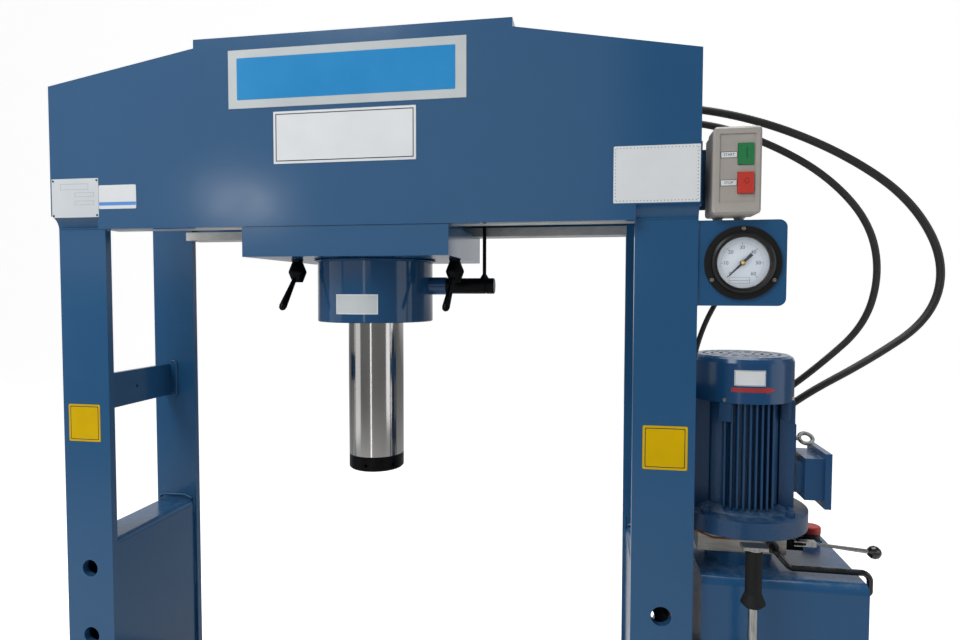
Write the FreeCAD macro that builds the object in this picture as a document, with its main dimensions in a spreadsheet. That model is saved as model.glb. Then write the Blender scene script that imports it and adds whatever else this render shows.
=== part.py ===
import FreeCAD, Part
import math
import os
import Sketcher

# Hydraulic press: a welded H-frame with a head beam, a carriage that slides under the head and carries
# the cylinder, a ram, a pressure gauge, a push-button starter and an oil tank with motor and hand pump.
# Frame of the model: +X to the right of the operator, +Y to the back, +Z up, origin on the floor at the
# middle of the frame.  All lengths are millimetres.

DOC = FreeCAD.newDocument("hydraulic_press")
SHEET = DOC.addObject("Spreadsheet::Sheet", "dims")
Vec = FreeCAD.Vector
Rot = FreeCAD.Rotation


class Q:
    """A length together with the sheet formula that gives it."""

    def __init__(self, value, text):
        self.v = float(value)
        self.e = text

    def __add__(self, o):
        o = q(o)
        return Q(self.v + o.v, "(%s + %s)" % (self.e, o.e))

    def __radd__(self, o):
        return q(o) + self

    def __sub__(self, o):
        o = q(o)
        return Q(self.v - o.v, "(%s - %s)" % (self.e, o.e))

    def __rsub__(self, o):
        return q(o) - self

    def __mul__(self, o):
        o = q(o)
        return Q(self.v * o.v, "(%s * %s)" % (self.e, o.e))

    __rmul__ = __mul__

    def __truediv__(self, o):
        o = q(o)
        return Q(self.v / o.v, "(%s / %s)" % (self.e, o.e))

    def __neg__(self):
        return Q(-self.v, "(0 - %s)" % self.e)


def q(a):
    return a if isinstance(a, Q) else Q(a, "(%.6f)" % a if a < 0 else "%.6f" % a)


ROW = [0]


def size(alias, value, note):
    ROW[0] += 1
    r = str(ROW[0])
    SHEET.set("A" + r, note)
    SHEET.set("B" + r, "%g" % value)
    SHEET.setAlias("B" + r, alias)
    return Q(value, "dims." + alias)


# ---------------------------------------------------------------- driving sizes
frame_half = size("frame_half", 660, "half width over the uprights")
depth_half = size("depth_half", 178, "half depth over the head plates")
beam_low = size("beam_low", 1590, "height of the underside of the head")
bar_wide = size("bar_wide", 112, "width of an upright bar")
bar_thick = size("bar_thick", 16, "thickness of an upright bar")
plate_thick = size("plate_thick", 20, "thickness of a head plate")
end_high = size("end_high", 300, "head height at its ends")
crown_low = size("crown_low", 358, "head height under the step")
crown_high = size("crown_high", 375, "head height at the middle")
crown_half = size("crown_half", 323, "half length of the raised middle")
notch = size("notch", 28, "height of the notch over an upright")
hole_first = size("hole_first", 255, "height of the lowest pin hole")
hole_pitch = size("hole_pitch", 150, "pitch of the pin holes")
hole_rad = size("hole_rad", 18.5, "radius of a pin hole")
pin_rad = size("pin_rad", 17, "radius of a bed pin")
rail_wide = size("rail_wide", 40, "width of a sliding rail")
rail_high = size("rail_high", 20, "height of a sliding rail")
carriage_x = size("carriage_x", -2.5, "place of the carriage along the head")
carriage_left = size("carriage_left", 63, "carriage plate beyond the left clamp")
carriage_right = size("carriage_right", 12, "carriage plate beyond the right clamp")
carriage_deep = size("carriage_deep", 176, "half depth of the carriage plate")
carriage_high = size("carriage_high", 60, "height of the carriage plate")
play = size("play", 0.4, "play between sliding pieces")
body_rad = size("body_rad", 126, "radius of the visible cylinder body")
body_long = size("body_long", 134, "length of the cylinder under the carriage")
barrel_rad = size("barrel_rad", 110, "radius of the barrel inside the head")
barrel_top = size("barrel_top", 235, "top of the cylinder above the head underside")
piston_rad = size("piston_rad", 85, "radius of the cylinder bore")
ram_rad = size("ram_rad", 60.4, "radius of the ram")
ram_out = size("ram_out", 520, "ram tip below the head underside")
head_high = size("head_high", 32, "height of the ram head")
stroke = size("stroke", 300, "full travel of the ram")
panel_drop = size("panel_drop", 12, "top of a side panel below the tank top")
tank_gap = size("tank_gap", 20, "gap between the frame and the tank")
tank_long = size("tank_long", 292, "length of the tank")
tank_front = size("tank_front", -130, "front of the tank")
tank_deep = size("tank_deep", 264, "depth of the tank")
tank_drop = size("tank_drop", 664, "tank top below the underside of the head")
tank_high = size("tank_high", 330, "height of the tank")
tank_wall = size("tank_wall", 4, "tank wall")
motor_out = size("motor_out", 112, "motor axis from the frame")
flange_rad = size("flange_rad", 128, "radius of the motor flange")
cowl_rad = size("cowl_rad", 98.5, "radius of the fan cowl")
fin_rad = size("fin_rad", 91, "radius over the motor fins")
gauge_out = size("gauge_out", 77, "gauge centre from the frame")
gauge_drop = size("gauge_drop", 77.5, "gauge centre below the underside of the head")
gauge_rad = size("gauge_rad", 66, "radius of the gauge flange")
box_gap = size("box_gap", 20, "gap between the head and the starter")
box_wide = size("box_wide", 82, "width of the starter")
box_rise = size("box_rise", 7, "underside of the starter above the underside of the head")
box_high = size("box_high", 154, "height of the starter")
lever_in = size("lever_in", 16, "hand lever to the left of the motor axis")
lever_out = size("lever_out", 66, "hand lever before the front of the tank")
hose_big = size("hose_big", 7.8, "radius of the pressure hose")
hose_small = size("hose_small", 6.9, "radius of the return hose")
foot_half = size("foot_half", 430, "half length of a foot")
DOC.recompute()

tank_left = frame_half + tank_gap
tank_top = beam_low - tank_drop
panel_top = tank_top - panel_drop              # the motor flange reaches in over the panel
motor_x = frame_half + motor_out
gauge_x = frame_half + gauge_out
gauge_z = beam_low - gauge_drop
box_left = frame_half + box_gap
box_low = beam_low + box_rise
lever_x = motor_x - lever_in
lever_y = tank_front - lever_out

NODES = {}


# ---------------------------------------------------------------- makers
def bind(obj, prop, val):
    obj.setExpression(prop, q(val).e)


def at(obj, x, y, z, rot=None):
    obj.Placement = FreeCAD.Placement(Vec(q(x).v, q(y).v, q(z).v), rot or Rot())
    for axis, val in zip("xyz", (x, y, z)):
        bind(obj, "Placement.Base." + axis, val)
    return obj


def box(name, x0, x1, y0, y1, z0, z1):
    o = DOC.addObject("Part::Box", name)
    for prop, a, b in (("Length", x0, x1), ("Width", y0, y1), ("Height", z0, z1)):
        bind(o, prop, q(b) - a)
    return at(o, x0, y0, z0)


TURN = {"x": Rot(Vec(0, 1, 0), 90), "y": Rot(Vec(1, 0, 0), -90), "z": Rot()}


def rod(name, axis, rad, a, b, c1, c2):
    """Cylinder along an axis from a to b; c1, c2 are the two other coordinates in x, y, z order."""
    o = DOC.addObject("Part::Cylinder", name)
    bind(o, "Radius", rad)
    bind(o, "Height", q(b) - a)
    p = {"x": (a, c1, c2), "y": (c1, a, c2), "z": (c1, c2, a)}[axis]
    return at(o, *p, rot=TURN[axis])


def cone(name, axis, r1, r2, a, b, c1, c2):
    o = DOC.addObject("Part::Cone", name)
    bind(o, "Radius1", r1)
    bind(o, "Radius2", r2)
    bind(o, "Height", q(b) - a)
    p = {"x": (a, c1, c2), "y": (c1, a, c2), "z": (c1, c2, a)}[axis]
    return at(o, *p, rot=TURN[axis])


def hexagon(name, axis, across, a, b, c1, c2):
    """Six-sided nut or bolt head, across is the distance over its corners."""
    o = DOC.addObject("Part::Prism", name)
    o.Polygon = 6
    bind(o, "Circumradius", q(across) / 2)
    bind(o, "Height", q(b) - a)
    p = {"x": (a, c1, c2), "y": (c1, a, c2), "z": (c1, c2, a)}[axis]
    return at(o, *p, rot=TURN[axis])


def aimed(name, r1, r2, length, x, y, z, direction):
    """Straight or tapered bar from x, y, z along a direction."""
    o = DOC.addObject("Part::Cone" if r1 != r2 else "Part::Cylinder", name)
    if r1 == r2:
        bind(o, "Radius", r1)
    else:
        bind(o, "Radius1", r1)
        bind(o, "Radius2", r2)
    bind(o, "Height", length)
    return at(o, x, y, z, Rot(Vec(0, 0, 1), direction))


def join(name, parts):
    if len(parts) == 1:
        return parts[0]
    o = DOC.addObject("Part::MultiFuse", name)
    o.Shapes = parts
    return o


def minus(name, base, tools):
    o = DOC.addObject("Part::Cut", name)
    o.Base = base
    o.Tool = join(name + "_tools", tools)
    return o


def group(name, parts):
    o = DOC.addObject("Part::Compound", name)
    o.Links = parts
    return o


def edge_at(**place):
    """Test for edges whose middle lies at the given x, y or z."""
    def test(edge):
        return all(abs(getattr(edge.CenterOfMass, axis) - q(val).v) < 0.1 for axis, val in place.items())
    return test


def softened(kind, name, src, leg, where):
    DOC.recompute()
    o = DOC.addObject(kind, name)
    o.Base = src
    o.Edges = [(i + 1, leg, leg) for i, e in enumerate(src.Shape.Edges) if where(e)]
    return o


def rounded(name, src, rad, where):
    """Round the edges whose middle satisfies the test."""
    return softened("Part::Fillet", name, src, rad, where)


def bevelled(name, src, leg, where):
    """Bevel the edges whose middle satisfies the test."""
    return softened("Part::Chamfer", name, src, leg, where)


def node(label, obj):
    obj.Label = label
    NODES[label] = obj
    return obj


PLANES = {"xy": "XY_Plane", "xz": "XZ_Plane", "yz": "YZ_Plane"}


def sketch_on(body, plane, name):
    sk = body.newObject("Sketcher::SketchObject", name)
    origin = [f for f in body.Origin.OriginFeatures if f.Role == PLANES[plane]][0]
    sk.AttachmentSupport = [(origin, "")]
    sk.MapMode = "FlatFace"
    return sk


def pin_down(sk, geo, pos, x, y):
    """Hold a sketch point at sheet-driven coordinates."""
    i = sk.addConstraint(Sketcher.Constraint("DistanceX", -1, 1, geo, pos, q(x).v))
    sk.setExpression("Constraints[%d]" % i, q(x).e)
    i = sk.addConstraint(Sketcher.Constraint("DistanceY", -1, 1, geo, pos, q(y).v))
    sk.setExpression("Constraints[%d]" % i, q(y).e)


def loop(sk, pts):
    first = sk.GeometryCount
    n = len(pts)
    for k in range(n):
        a, b = pts[k], pts[(k + 1) % n]
        sk.addGeometry(Part.LineSegment(Vec(q(a[0]).v, q(a[1]).v, 0), Vec(q(b[0]).v, q(b[1]).v, 0)), False)
    for k in range(n):
        sk.addConstraint(Sketcher.Constraint("Coincident", first + k, 2, first + (k + 1) % n, 1))
    for k in range(n):
        pin_down(sk, first + k, 1, pts[k][0], pts[k][1])


def ring(sk, x, y, rad):
    g = sk.addGeometry(Part.Circle(Vec(q(x).v, q(y).v, 0), Vec(0, 0, 1), q(rad).v), False)
    i = sk.addConstraint(Sketcher.Constraint("Radius", g, q(rad).v))
    sk.setExpression("Constraints[%d]" % i, q(rad).e)
    pin_down(sk, g, 3, x, y)


def slab(name, plane, a, b, outline, holes=(), windows=()):
    """Flat piece from a to b along the plane's own normal axis: an outline with round holes and windows."""
    body = DOC.addObject("PartDesign::Body", name)
    sk = sketch_on(body, plane, name + "_outline")
    if outline and not isinstance(outline[0], (tuple, list)):
        ring(sk, *outline)
    else:
        loop(sk, outline)
    for h in holes:
        ring(sk, *h)
    for w in windows:
        loop(sk, w)
    pad = body.newObject("PartDesign::Pad", name + "_pad")
    pad.Profile = sk
    bind(pad, "Length", q(b) - a)
    body.Tip = pad
    sk.Visibility = False
    base = {"xy": (0, 0, a), "xz": (0, b, 0), "yz": (a, 0, 0)}[plane]
    return at(body, *base)


def turned(name, axis, x, y, z, profile):
    """Turned piece: profile of (radius, height) points spun about the axis through x, y, z."""
    body = DOC.addObject("PartDesign::Body", name)
    sk = sketch_on(body, "xz", name + "_profile")
    loop(sk, profile)
    rev = body.newObject("PartDesign::Revolution", name + "_turn")
    rev.Profile = sk
    rev.ReferenceAxis = (sk, ["V_Axis"])
    rev.Angle = 360
    body.Tip = rev
    sk.Visibility = False
    return at(body, x, y, z, TURN[axis])


SIDES = 12


def tube(start, ahead, wire, rad):
    """Tube with SIDES faces along a wire; its section has the area of the round one."""
    ahead = Vec(ahead)
    ahead.normalize()
    u = ahead.cross(Vec(0, 1, 0) if abs(ahead.y) < 0.9 else Vec(1, 0, 0))
    u.normalize()
    w = ahead.cross(u)
    corner = rad * math.sqrt(2 * math.pi / (SIDES * math.sin(2 * math.pi / SIDES)))
    ring_pts = []
    for k in range(SIDES):
        t = 2 * math.pi * (k + 0.5) / SIDES
        ring_pts.append(start + u * (corner * math.cos(t)) + w * (corner * math.sin(t)))
    return wire.makePipeShell([Part.makePolygon(ring_pts + ring_pts[:1])], True, False)


def route(name, pts, rad):
    """Tube along straight runs joined by tangent arcs; the arc at each point takes 0.45 of the
    shorter run beside it."""
    p = [Vec(*c) for c in pts]
    edges, last, radii = [], p[0], []
    for k in range(1, len(p) - 1):
        u, w = p[k] - p[k - 1], p[k + 1] - p[k]
        leg = 0.45 * min(u.Length, w.Length)
        turn = u.getAngle(w)
        u.normalize()
        w.normalize()
        a, b = p[k] - u * leg, p[k] + w * leg
        r = leg / math.tan(turn / 2)
        mid_dir = w - u
        mid_dir.normalize()
        centre = p[k] + mid_dir * (r / math.cos(turn / 2))
        mid = centre - mid_dir * r
        edges.append(Part.LineSegment(last, a).toShape())
        edges.append(Part.Arc(a, mid, b).toShape())
        radii.append(r)
        last = b
    edges.append(Part.LineSegment(last, p[-1]).toShape())
    wire = Part.Wire(edges)
    solid = tube(p[0], p[1] - p[0], wire, rad)
    want = math.pi * rad * rad * wire.Length
    print("%s: radii %s, length %.0f, volume ratio %.4f"
          % (name, " ".join("%.0f" % r for r in radii), wire.Length, solid.Volume / want))
    return solid


def code_shape(name, shape):
    o = DOC.addObject("Part::Feature", name)
    o.Shape = shape
    o.Placement = FreeCAD.Placement()
    return o


# ---------------------------------------------------------------- uprights
bar_in = frame_half - bar_wide
bar_mid = frame_half - bar_wide / 2
front_face = depth_half - plate_thick          # bars lie behind the head plates
foot_thick = 16
bar_short = 12                                 # the bars end this far under the head's corners
bar_top = beam_low + end_high - bar_short
holes_z = [hole_first + hole_pitch * k for k in range(5)]

for side, s in (("left", -1), ("right", 1)):
    lo, hi = (s * frame_half, s * bar_in) if s < 0 else (bar_in, frame_half)
    outline = [(lo, foot_thick), (hi, foot_thick), (hi, bar_top), (lo, bar_top)]
    pins = [(s * bar_mid, z, hole_rad) for z in holes_z]
    for face, y0 in (("front", -front_face), ("rear", front_face - bar_thick)):
        node("upright_%s_%s" % (face, side),
             slab("upright_%s_%s" % (face, side), "xz", y0, y0 + bar_thick, outline, pins))

# ---------------------------------------------------------------- head
low = beam_low
profile = [(-frame_half, low + notch), (-bar_in, low + notch), (-bar_in, low), (bar_in, low),
           (bar_in, low + notch), (frame_half, low + notch), (frame_half, low + end_high),
           (crown_half, low + crown_low), (crown_half, low + crown_high),
           (-crown_half, low + crown_high), (-crown_half, low + crown_low), (-frame_half, low + end_high)]


def weld_cove(name, s, out):
    """Curved skirt that runs from the lower edge of a head plate back to the upright."""
    set_in, drop, r = 3, 27, 30.0              # step behind the plate's face, height and radius of the skirt
    y_out, y_in = out * (depth_half - set_in), out * front_face
    lo, hi = (s * frame_half, s * bar_in) if s < 0 else (bar_in, frame_half)
    body = DOC.addObject("PartDesign::Body", name)
    sk = sketch_on(body, "yz", name + "_section")
    zt = (low + notch).v
    a, b, c = (y_out.v, zt), (y_in.v, zt), (y_in.v, zt - drop)
    ax, az, cx, cz = a[0], a[1], c[0], c[1]
    mx, mz = (ax + cx) / 2, (az + cz) / 2
    dx, dz = cx - ax, cz - az
    half = math.hypot(dx, dz) / 2
    off = math.sqrt(r * r - half * half)
    nx, nz = -dz / (2 * half), dx / (2 * half)
    if nx * out < 0:
        nx, nz = -nx, -nz
    ox, oz = mx + nx * off, mz + nz * off
    ang = [math.atan2(az - oz, ax - ox), math.atan2(cz - oz, cx - ox)]
    sk.addGeometry(Part.LineSegment(Vec(*a, 0), Vec(*b, 0)), False)
    sk.addGeometry(Part.LineSegment(Vec(*b, 0), Vec(*c, 0)), False)
    lo_a, hi_a = min(ang), max(ang)
    if hi_a - lo_a > math.pi:
        lo_a, hi_a = hi_a, lo_a + 2 * math.pi
    sk.addGeometry(Part.ArcOfCircle(Part.Circle(Vec(ox, oz, 0), Vec(0, 0, 1), r), lo_a, hi_a), False)
    starts_at_a = abs((lo_a - ang[0]) % (2 * math.pi)) < 1e-6
    sk.addConstraint(Sketcher.Constraint("Coincident", 0, 2, 1, 1))
    sk.addConstraint(Sketcher.Constraint("Coincident", 2, 1 if starts_at_a else 2, 0, 1))
    sk.addConstraint(Sketcher.Constraint("Coincident", 2, 2 if starts_at_a else 1, 1, 2))
    pin_down(sk, 0, 1, y_out, low + notch)
    pin_down(sk, 0, 2, y_in, low + notch)
    pin_down(sk, 1, 2, y_in, low + notch - drop)
    sk.addConstraint(Sketcher.Constraint("Radius", 2, r))
    pad = body.newObject("PartDesign::Pad", name + "_run")
    pad.Profile = sk
    bind(pad, "Length", hi - lo)
    body.Tip = pad
    sk.Visibility = False
    return at(body, lo, 0, 0)


for face, out in (("front", -1), ("rear", 1)):
    y0 = -depth_half if out < 0 else front_face
    name = "head_%s_plate" % face
    flat = slab(name + "_flat", "xz", y0, y0 + plate_thick, profile)
    node(name, join(name, [flat, weld_cove(name + "_cove_l", -1, out), weld_cove(name + "_cove_r", 1, out)]))

node("head_top_plate", box("head_top_plate", -crown_half, crown_half, -front_face, front_face,
                           low + crown_high - bar_thick, low + crown_high))

rail_in = front_face - rail_wide
node("head_rails", group("head_rails", [
    box("rail_front", -bar_in, bar_in, -front_face, -rail_in, low, low + rail_high),
    box("rail_rear", -bar_in, bar_in, rail_in, front_face, low, low + rail_high)]))

# ---------------------------------------------------------------- side braces and bent side panels
inner_y = front_face - bar_thick
brace_x, brace_thick = bar_mid + 14, 12
brace_low, brace_high = beam_low - 400, 81
brace_mid = brace_low + brace_high / 2
braces = []
for side, s in (("left", -1), ("right", 1)):
    a, b = (-brace_x - brace_thick, -brace_x) if s < 0 else (brace_x, brace_x + brace_thick)
    braces.append(slab("brace_" + side, "yz", a, b,
                       [(-inner_y, brace_low), (inner_y, brace_low), (inner_y, brace_low + brace_high),
                        (-inner_y, brace_low + brace_high)],
                       [(18, brace_mid, 3.5)]))
node("side_braces", group("side_braces", braces))

panel_out, panel_in, sheet = frame_half - 10, bar_in + 6, 5
bend_out = 12
for side, s in (("left", -1), ("right", 1)):
    name = "side_panel_" + side
    x0, x1 = (-panel_out, -panel_in) if s < 0 else (panel_in, panel_out)
    shell = box(name + "_block", x0, x1, -inner_y, inner_y, foot_thick, panel_top)
    shell = rounded(name + "_bend", shell, bend_out, edge_at(y=0, z=panel_top))
    core = box(name + "_hollow", x0 + sheet, x1 - sheet, -inner_y, inner_y, foot_thick, panel_top - sheet)
    core = rounded(name + "_inner", core, bend_out - sheet, edge_at(y=0, z=panel_top - sheet))
    node(name, minus(name, shell, [core]))

# ---------------------------------------------------------------- feet
sole_half = bar_wide / 2 + 14
rib_high, rib_thick, toe_high = 190, 12, 20
feet = []
for side, s in (("left", -1), ("right", 1)):
    a, b = s * bar_mid - sole_half, s * bar_mid + sole_half
    sole = slab("sole_" + side, "xy", 0, foot_thick,
                [(a, -foot_half), (b, -foot_half), (b, foot_half), (a, foot_half)],
                [(s * bar_mid, d * (foot_half - 40), 11) for d in (-1, 1)])
    ribs = []
    for d in (-1, 1):
        pts = [(d * front_face, foot_thick), (d * (foot_half - 70), foot_thick),
               (d * (foot_half - 70), foot_thick + toe_high), (d * (front_face + 26), foot_thick + rib_high),
               (d * front_face, foot_thick + rib_high)]
        ribs.append(slab("rib_%s_%s" % (side, "front" if d < 0 else "rear"), "yz",
                         s * bar_mid - rib_thick / 2, s * bar_mid + rib_thick / 2, pts))
    feet.append(join("foot_" + side, [sole] + ribs))
node("feet", group("feet", feet))

# ---------------------------------------------------------------- bed on its pins
pin_z = hole_first - (hole_rad - pin_rad)      # the pins lie on the floor of the lowest holes
bed_low = pin_z + pin_rad + 0.1
bed_high, lip_wide = 200, 62
bed_near, bed_short = front_face + 2, 5
bed = []
for face, d in (("front", -1), ("rear", 1)):
    y_web, y_lip = d * bed_near, d * (bed_near + lip_wide)
    t = 14
    pts = [(y_web, bed_low), (y_lip, bed_low), (y_lip, bed_low + t), (d * (bed_near + t), bed_low + t),
           (d * (bed_near + t), bed_low + bed_high - t), (y_lip, bed_low + bed_high - t),
           (y_lip, bed_low + bed_high), (y_web, bed_low + bed_high)]
    bed.append(slab("bed_channel_" + face, "yz", bed_short - frame_half, frame_half - bed_short, pts))
spacer_x = bar_in - 42
for n, s in (("left", -1), ("right", 1)):
    bed.append(box("bed_spacer_" + n, s * spacer_x - 8, s * spacer_x + 8, -bed_near, bed_near,
                   bed_low + 10, bed_low + bed_high - 10))
node("bed", join("bed", bed))
pins = []
for n, s in (("left", -1), ("right", 1)):
    reach = bed_near + lip_wide + 8
    shank = rod("pin_shank_" + n, "y", pin_rad, -reach, reach, s * bar_mid, pin_z)
    cap = rod("pin_collar_" + n, "y", pin_rad + 9, -reach - 10, -reach, s * bar_mid, pin_z)
    pins.append(join("bed_pin_" + n, [shank, cap]))
node("bed_pins", group("bed_pins", pins))

# ---------------------------------------------------------------- carriage
car_top = low - play
car_low = car_top - carriage_high
stud_rad, block_half = 6, 8.5
stud_bore = stud_rad + 0.3
lever_left = carriage_x - body_rad - 31.5      # the clamps clear the cylinder on both sides
lever_right = carriage_x + body_rad + 66.5
lever_depth = -60
cx0, cx1 = lever_left - carriage_left, lever_right + carriage_right
node("carriage_plate", slab("carriage_plate", "xy", car_low, car_top,
                            [(cx0, -carriage_deep), (cx1, -carriage_deep), (cx1, carriage_deep),
                             (cx0, carriage_deep)],
                            [(carriage_x, 0, barrel_rad), (lever_left, lever_depth, stud_bore),
                             (lever_right, lever_depth, stud_bore)]))

neck_y = rail_in - 6
wing_y = front_face - 8
rail_top = low + rail_high
wing_low = rail_top + play
wing_thick, hanger_long = 16, 48
hangers = []
for n, a in (("left", cx0 + 4), ("right", lever_right - block_half - 6 - hanger_long)):
    pts = [(-neck_y, car_top), (neck_y, car_top), (neck_y, wing_low), (wing_y, wing_low),
           (wing_y, wing_low + wing_thick), (-wing_y, wing_low + wing_thick), (-wing_y, wing_low),
           (-neck_y, wing_low)]
    hangers.append(slab("hanger_" + n, "yz", a, a + hanger_long, pts))
blocks = []
block_high = wing_thick - 2
for n, x in (("left", lever_left), ("right", lever_right)):
    back = lever_depth + 22
    pts = [(-neck_y, car_top), (back, car_top), (back, wing_low + block_high), (-wing_y, wing_low + block_high),
           (-wing_y, wing_low), (-neck_y, wing_low)]
    solid = slab("clamp_block_%s_solid" % n, "yz", x - block_half, x + block_half, pts)
    blocks.append(minus("clamp_block_" + n, solid, [
        rod("clamp_bore_" + n, "z", stud_bore, car_top - 1, rail_top + 40, x, lever_depth)]))
node("carriage_hangers", group("carriage_hangers", hangers + blocks))

# clamp lever: a waisted hub like two cones base to base, with an arm that swells towards its round end
hub_rad, hub_mid, hub_long = 19, 27, 49
arm_aim = Vec(-7, -62, -80)
for n, x in (("left", lever_left), ("right", lever_right)):
    name = "clamp_lever_" + n
    top = car_low - 0.3
    hub = turned(name + "_hub", "z", x, lever_depth, top, [
        (0, 0), (13, 0), (11, -5), (hub_rad, 1.5 - hub_mid), (hub_rad, -hub_mid - 1.5), (11, -hub_long),
        (0, -hub_long)])
    stud = rod(name + "_stud", "z", stud_rad, top - 4, wing_low + block_high - 3, x, lever_depth)
    arm = turned(name + "_arm", "z", x, lever_depth, top - hub_mid, [
        (0, 0), (4.8, 0), (4.8, 24), (8, 92), (6.6, 98), (3.6, 101), (0, 101.6)])
    arm.Placement = FreeCAD.Placement(arm.Placement.Base, Rot(Vec(0, 0, 1), arm_aim))
    solid = join(name + "_solid", [hub, stud, arm])
    node(name, minus(name, solid, [
        rod(name + "_recess", "x", 6.5, x + hub_rad - 3.5, x + hub_rad + 2, lever_depth - 3, top - hub_mid)]))

# ---------------------------------------------------------------- cylinder
cyl_low = car_low - body_long
gland_rad, gland_long = piston_rad + 7, 44.4
end_thick = 30
bore_low = cyl_low + gland_long
cap_low = low + barrel_top - end_thick
barrel = turned("barrel_body", "z", carriage_x, 0, 0, [
    (gland_rad, cyl_low), (body_rad - 2, cyl_low), (body_rad, cyl_low + 2), (body_rad, car_low - 6),
    (body_rad + 8, car_low - 3.4), (body_rad + 8, car_low - 2.6), (body_rad + 5, car_low),
    (barrel_rad, car_low), (barrel_rad, cap_low), (piston_rad, cap_low), (piston_rad, bore_low),
    (gland_rad, bore_low)])
port_z = cyl_low + 77.5
cou_a = carriage_x + body_rad + 36             # the side coupling starts at the end of the boss
boss = rod("barrel_boss", "x", 19, carriage_x + body_rad - 4, cou_a, 0, port_z)
node("cylinder_barrel", join("cylinder_barrel", [barrel, boss]))
node("cylinder_end_cap", turned("cylinder_end_cap", "z", carriage_x, 0, 0, [
    (0, cap_low), (barrel_rad, cap_low), (barrel_rad, cap_low + end_thick - 4),
    (barrel_rad - 4, cap_low + end_thick), (0, cap_low + end_thick)]))
node("cylinder_gland", turned("cylinder_gland", "z", carriage_x, 0, 0, [
    (ram_rad + 0.3, cyl_low + 6), (ram_rad + 5, cyl_low), (gland_rad, cyl_low), (gland_rad, bore_low),
    (ram_rad + 0.3, bore_low)]))

# ---------------------------------------------------------------- ram
ram_tip = low - ram_out
rod_low = ram_tip + head_high
drawn_in = 291                                 # travel still left above the piston as drawn
pist_low = bore_low + (stroke - drawn_in)
pist_rad = piston_rad - 0.3
groove = piston_rad - 4
node("ram", turned("ram", "z", carriage_x, 0, 0, [
    (0, rod_low), (ram_rad, rod_low), (ram_rad, pist_low), (pist_rad, pist_low), (pist_rad, pist_low + 20),
    (groove, pist_low + 20), (groove, pist_low + 30), (pist_rad, pist_low + 30), (pist_rad, pist_low + 50),
    (0, pist_low + 50)]))
head_solid = turned("ram_head_solid", "z", carriage_x, 0, 0, [
    (0, ram_tip), (ram_rad - 3, ram_tip), (ram_rad, ram_tip + 3), (ram_rad, rod_low - 1.5),
    (ram_rad - 1.5, rod_low), (0, rod_low)])
tools = [rod("ram_tip_thread", "z", 8, ram_tip - 1, ram_tip + 22, carriage_x, 0)]
hole_deep = 12
for k in range(6):
    t = math.radians(60 * k - 94)
    d = Vec(math.cos(t), math.sin(t), 0)
    start = ram_rad - hole_deep
    tools.append(aimed("ram_pin_hole_%d" % k, 3.6, 3.6, hole_deep + 2, carriage_x + start * d.x, start * d.y,
                       ram_tip + 13, d))
node("ram_head", minus("ram_head", head_solid, tools))

# ---------------------------------------------------------------- side coupling, riser and cap elbow
cou_rad, cou_long = 17, 105
node("side_coupling", turned("side_coupling", "x", cou_a, 0, port_z, [
    (0, 0), (cou_rad, 0), (cou_rad, cou_long - 20), (cou_rad - 1, cou_long - 19), (cou_rad - 1, cou_long - 18),
    (cou_rad, cou_long - 17), (cou_rad, cou_long - 1.5), (cou_rad - 1.5, cou_long), (0, cou_long)]))
riser_x = cou_a + cou_long - 22
riser_top = low + 222
riser = [rod("riser_tube", "z", 4, port_z + cou_rad, riser_top - 6, riser_x, 0),
         cone("riser_foot", "z", 10, 4.5, port_z + cou_rad - 1, port_z + cou_rad + 8, riser_x, 0),
         box("riser_elbow", riser_x - 9, riser_x + 9, -9, 9, riser_top - 9, riser_top + 9),
         rod("riser_nipple", "x", 8, riser_x + 8, riser_x + 34, 0, riser_top),
         hexagon("riser_nut", "x", 24, riser_x + 12, riser_x + 26, 0, riser_top)]
cut_seat = rod("riser_seat", "x", cou_rad + 0.3, riser_x - 20, riser_x + 20, 0, port_z)
node("riser_pipe", minus("riser_pipe", join("riser_solid", riser), [cut_seat]))
cap_top = cap_low + end_thick
ex, ey, ez = carriage_x + 40, 40, cap_top + 23
node("cap_elbow", join("cap_elbow", [
    rod("cap_elbow_foot", "z", 12, cap_top, ez, ex, ey),
    box("cap_elbow_block", ex - 13, ex + 13, ey - 13, ey + 13, ez - 13, ez + 13),
    rod("cap_elbow_nipple", "x", 10, ex + 12, ex + 41, ey, ez),
    hexagon("cap_elbow_nut", "x", 28, ex + 16, ex + 32, ey, ez)]))

# ---------------------------------------------------------------- hoses
# valve block under the motor, where the hoses end
neck_rad, neck_high = 65, 24
mz0 = tank_top + neck_high
block_deep = 63
elbow_z = mz0 + 17
elbow_rise = 35
p_end = ((motor_x + 36).v, 157, (elbow_z + elbow_rise).v)
q_end = ((motor_x - 24).v, 154, (elbow_z + elbow_rise).v)
p0 = (ex.v + 41, ey, ez.v)
q0 = (riser_x.v + 34, 0, riser_top.v)
pressure = [p0, (258, 40, 1848), (458, 32, 1856), (648, 24, 1846), (808, 27, 1810), (970, 38, 1740),
            (1104, 57, 1648), (1180, 78, 1524), (1164, 94, 1406), (1056, 116, 1315), (930, 136, 1232),
            (838, 150, 1146), (808, 157, 1062), p_end]
back = [q0, (414, 0, 1812), (556, -3, 1813), (700, -7, 1801), (824, -1, 1754), (934, 14, 1690),
        (1019, 36, 1602), (1050, 58, 1500), (1036, 88, 1392), (962, 115, 1306), (870, 138, 1220),
        (788, 148, 1136), (748, 154, 1062), q_end]
node("hose_pressure", code_shape("hose_pressure", route("hose_pressure", pressure, hose_big.v)))
node("hose_return", code_shape("hose_return", route("hose_return", back, hose_small.v)))

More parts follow.
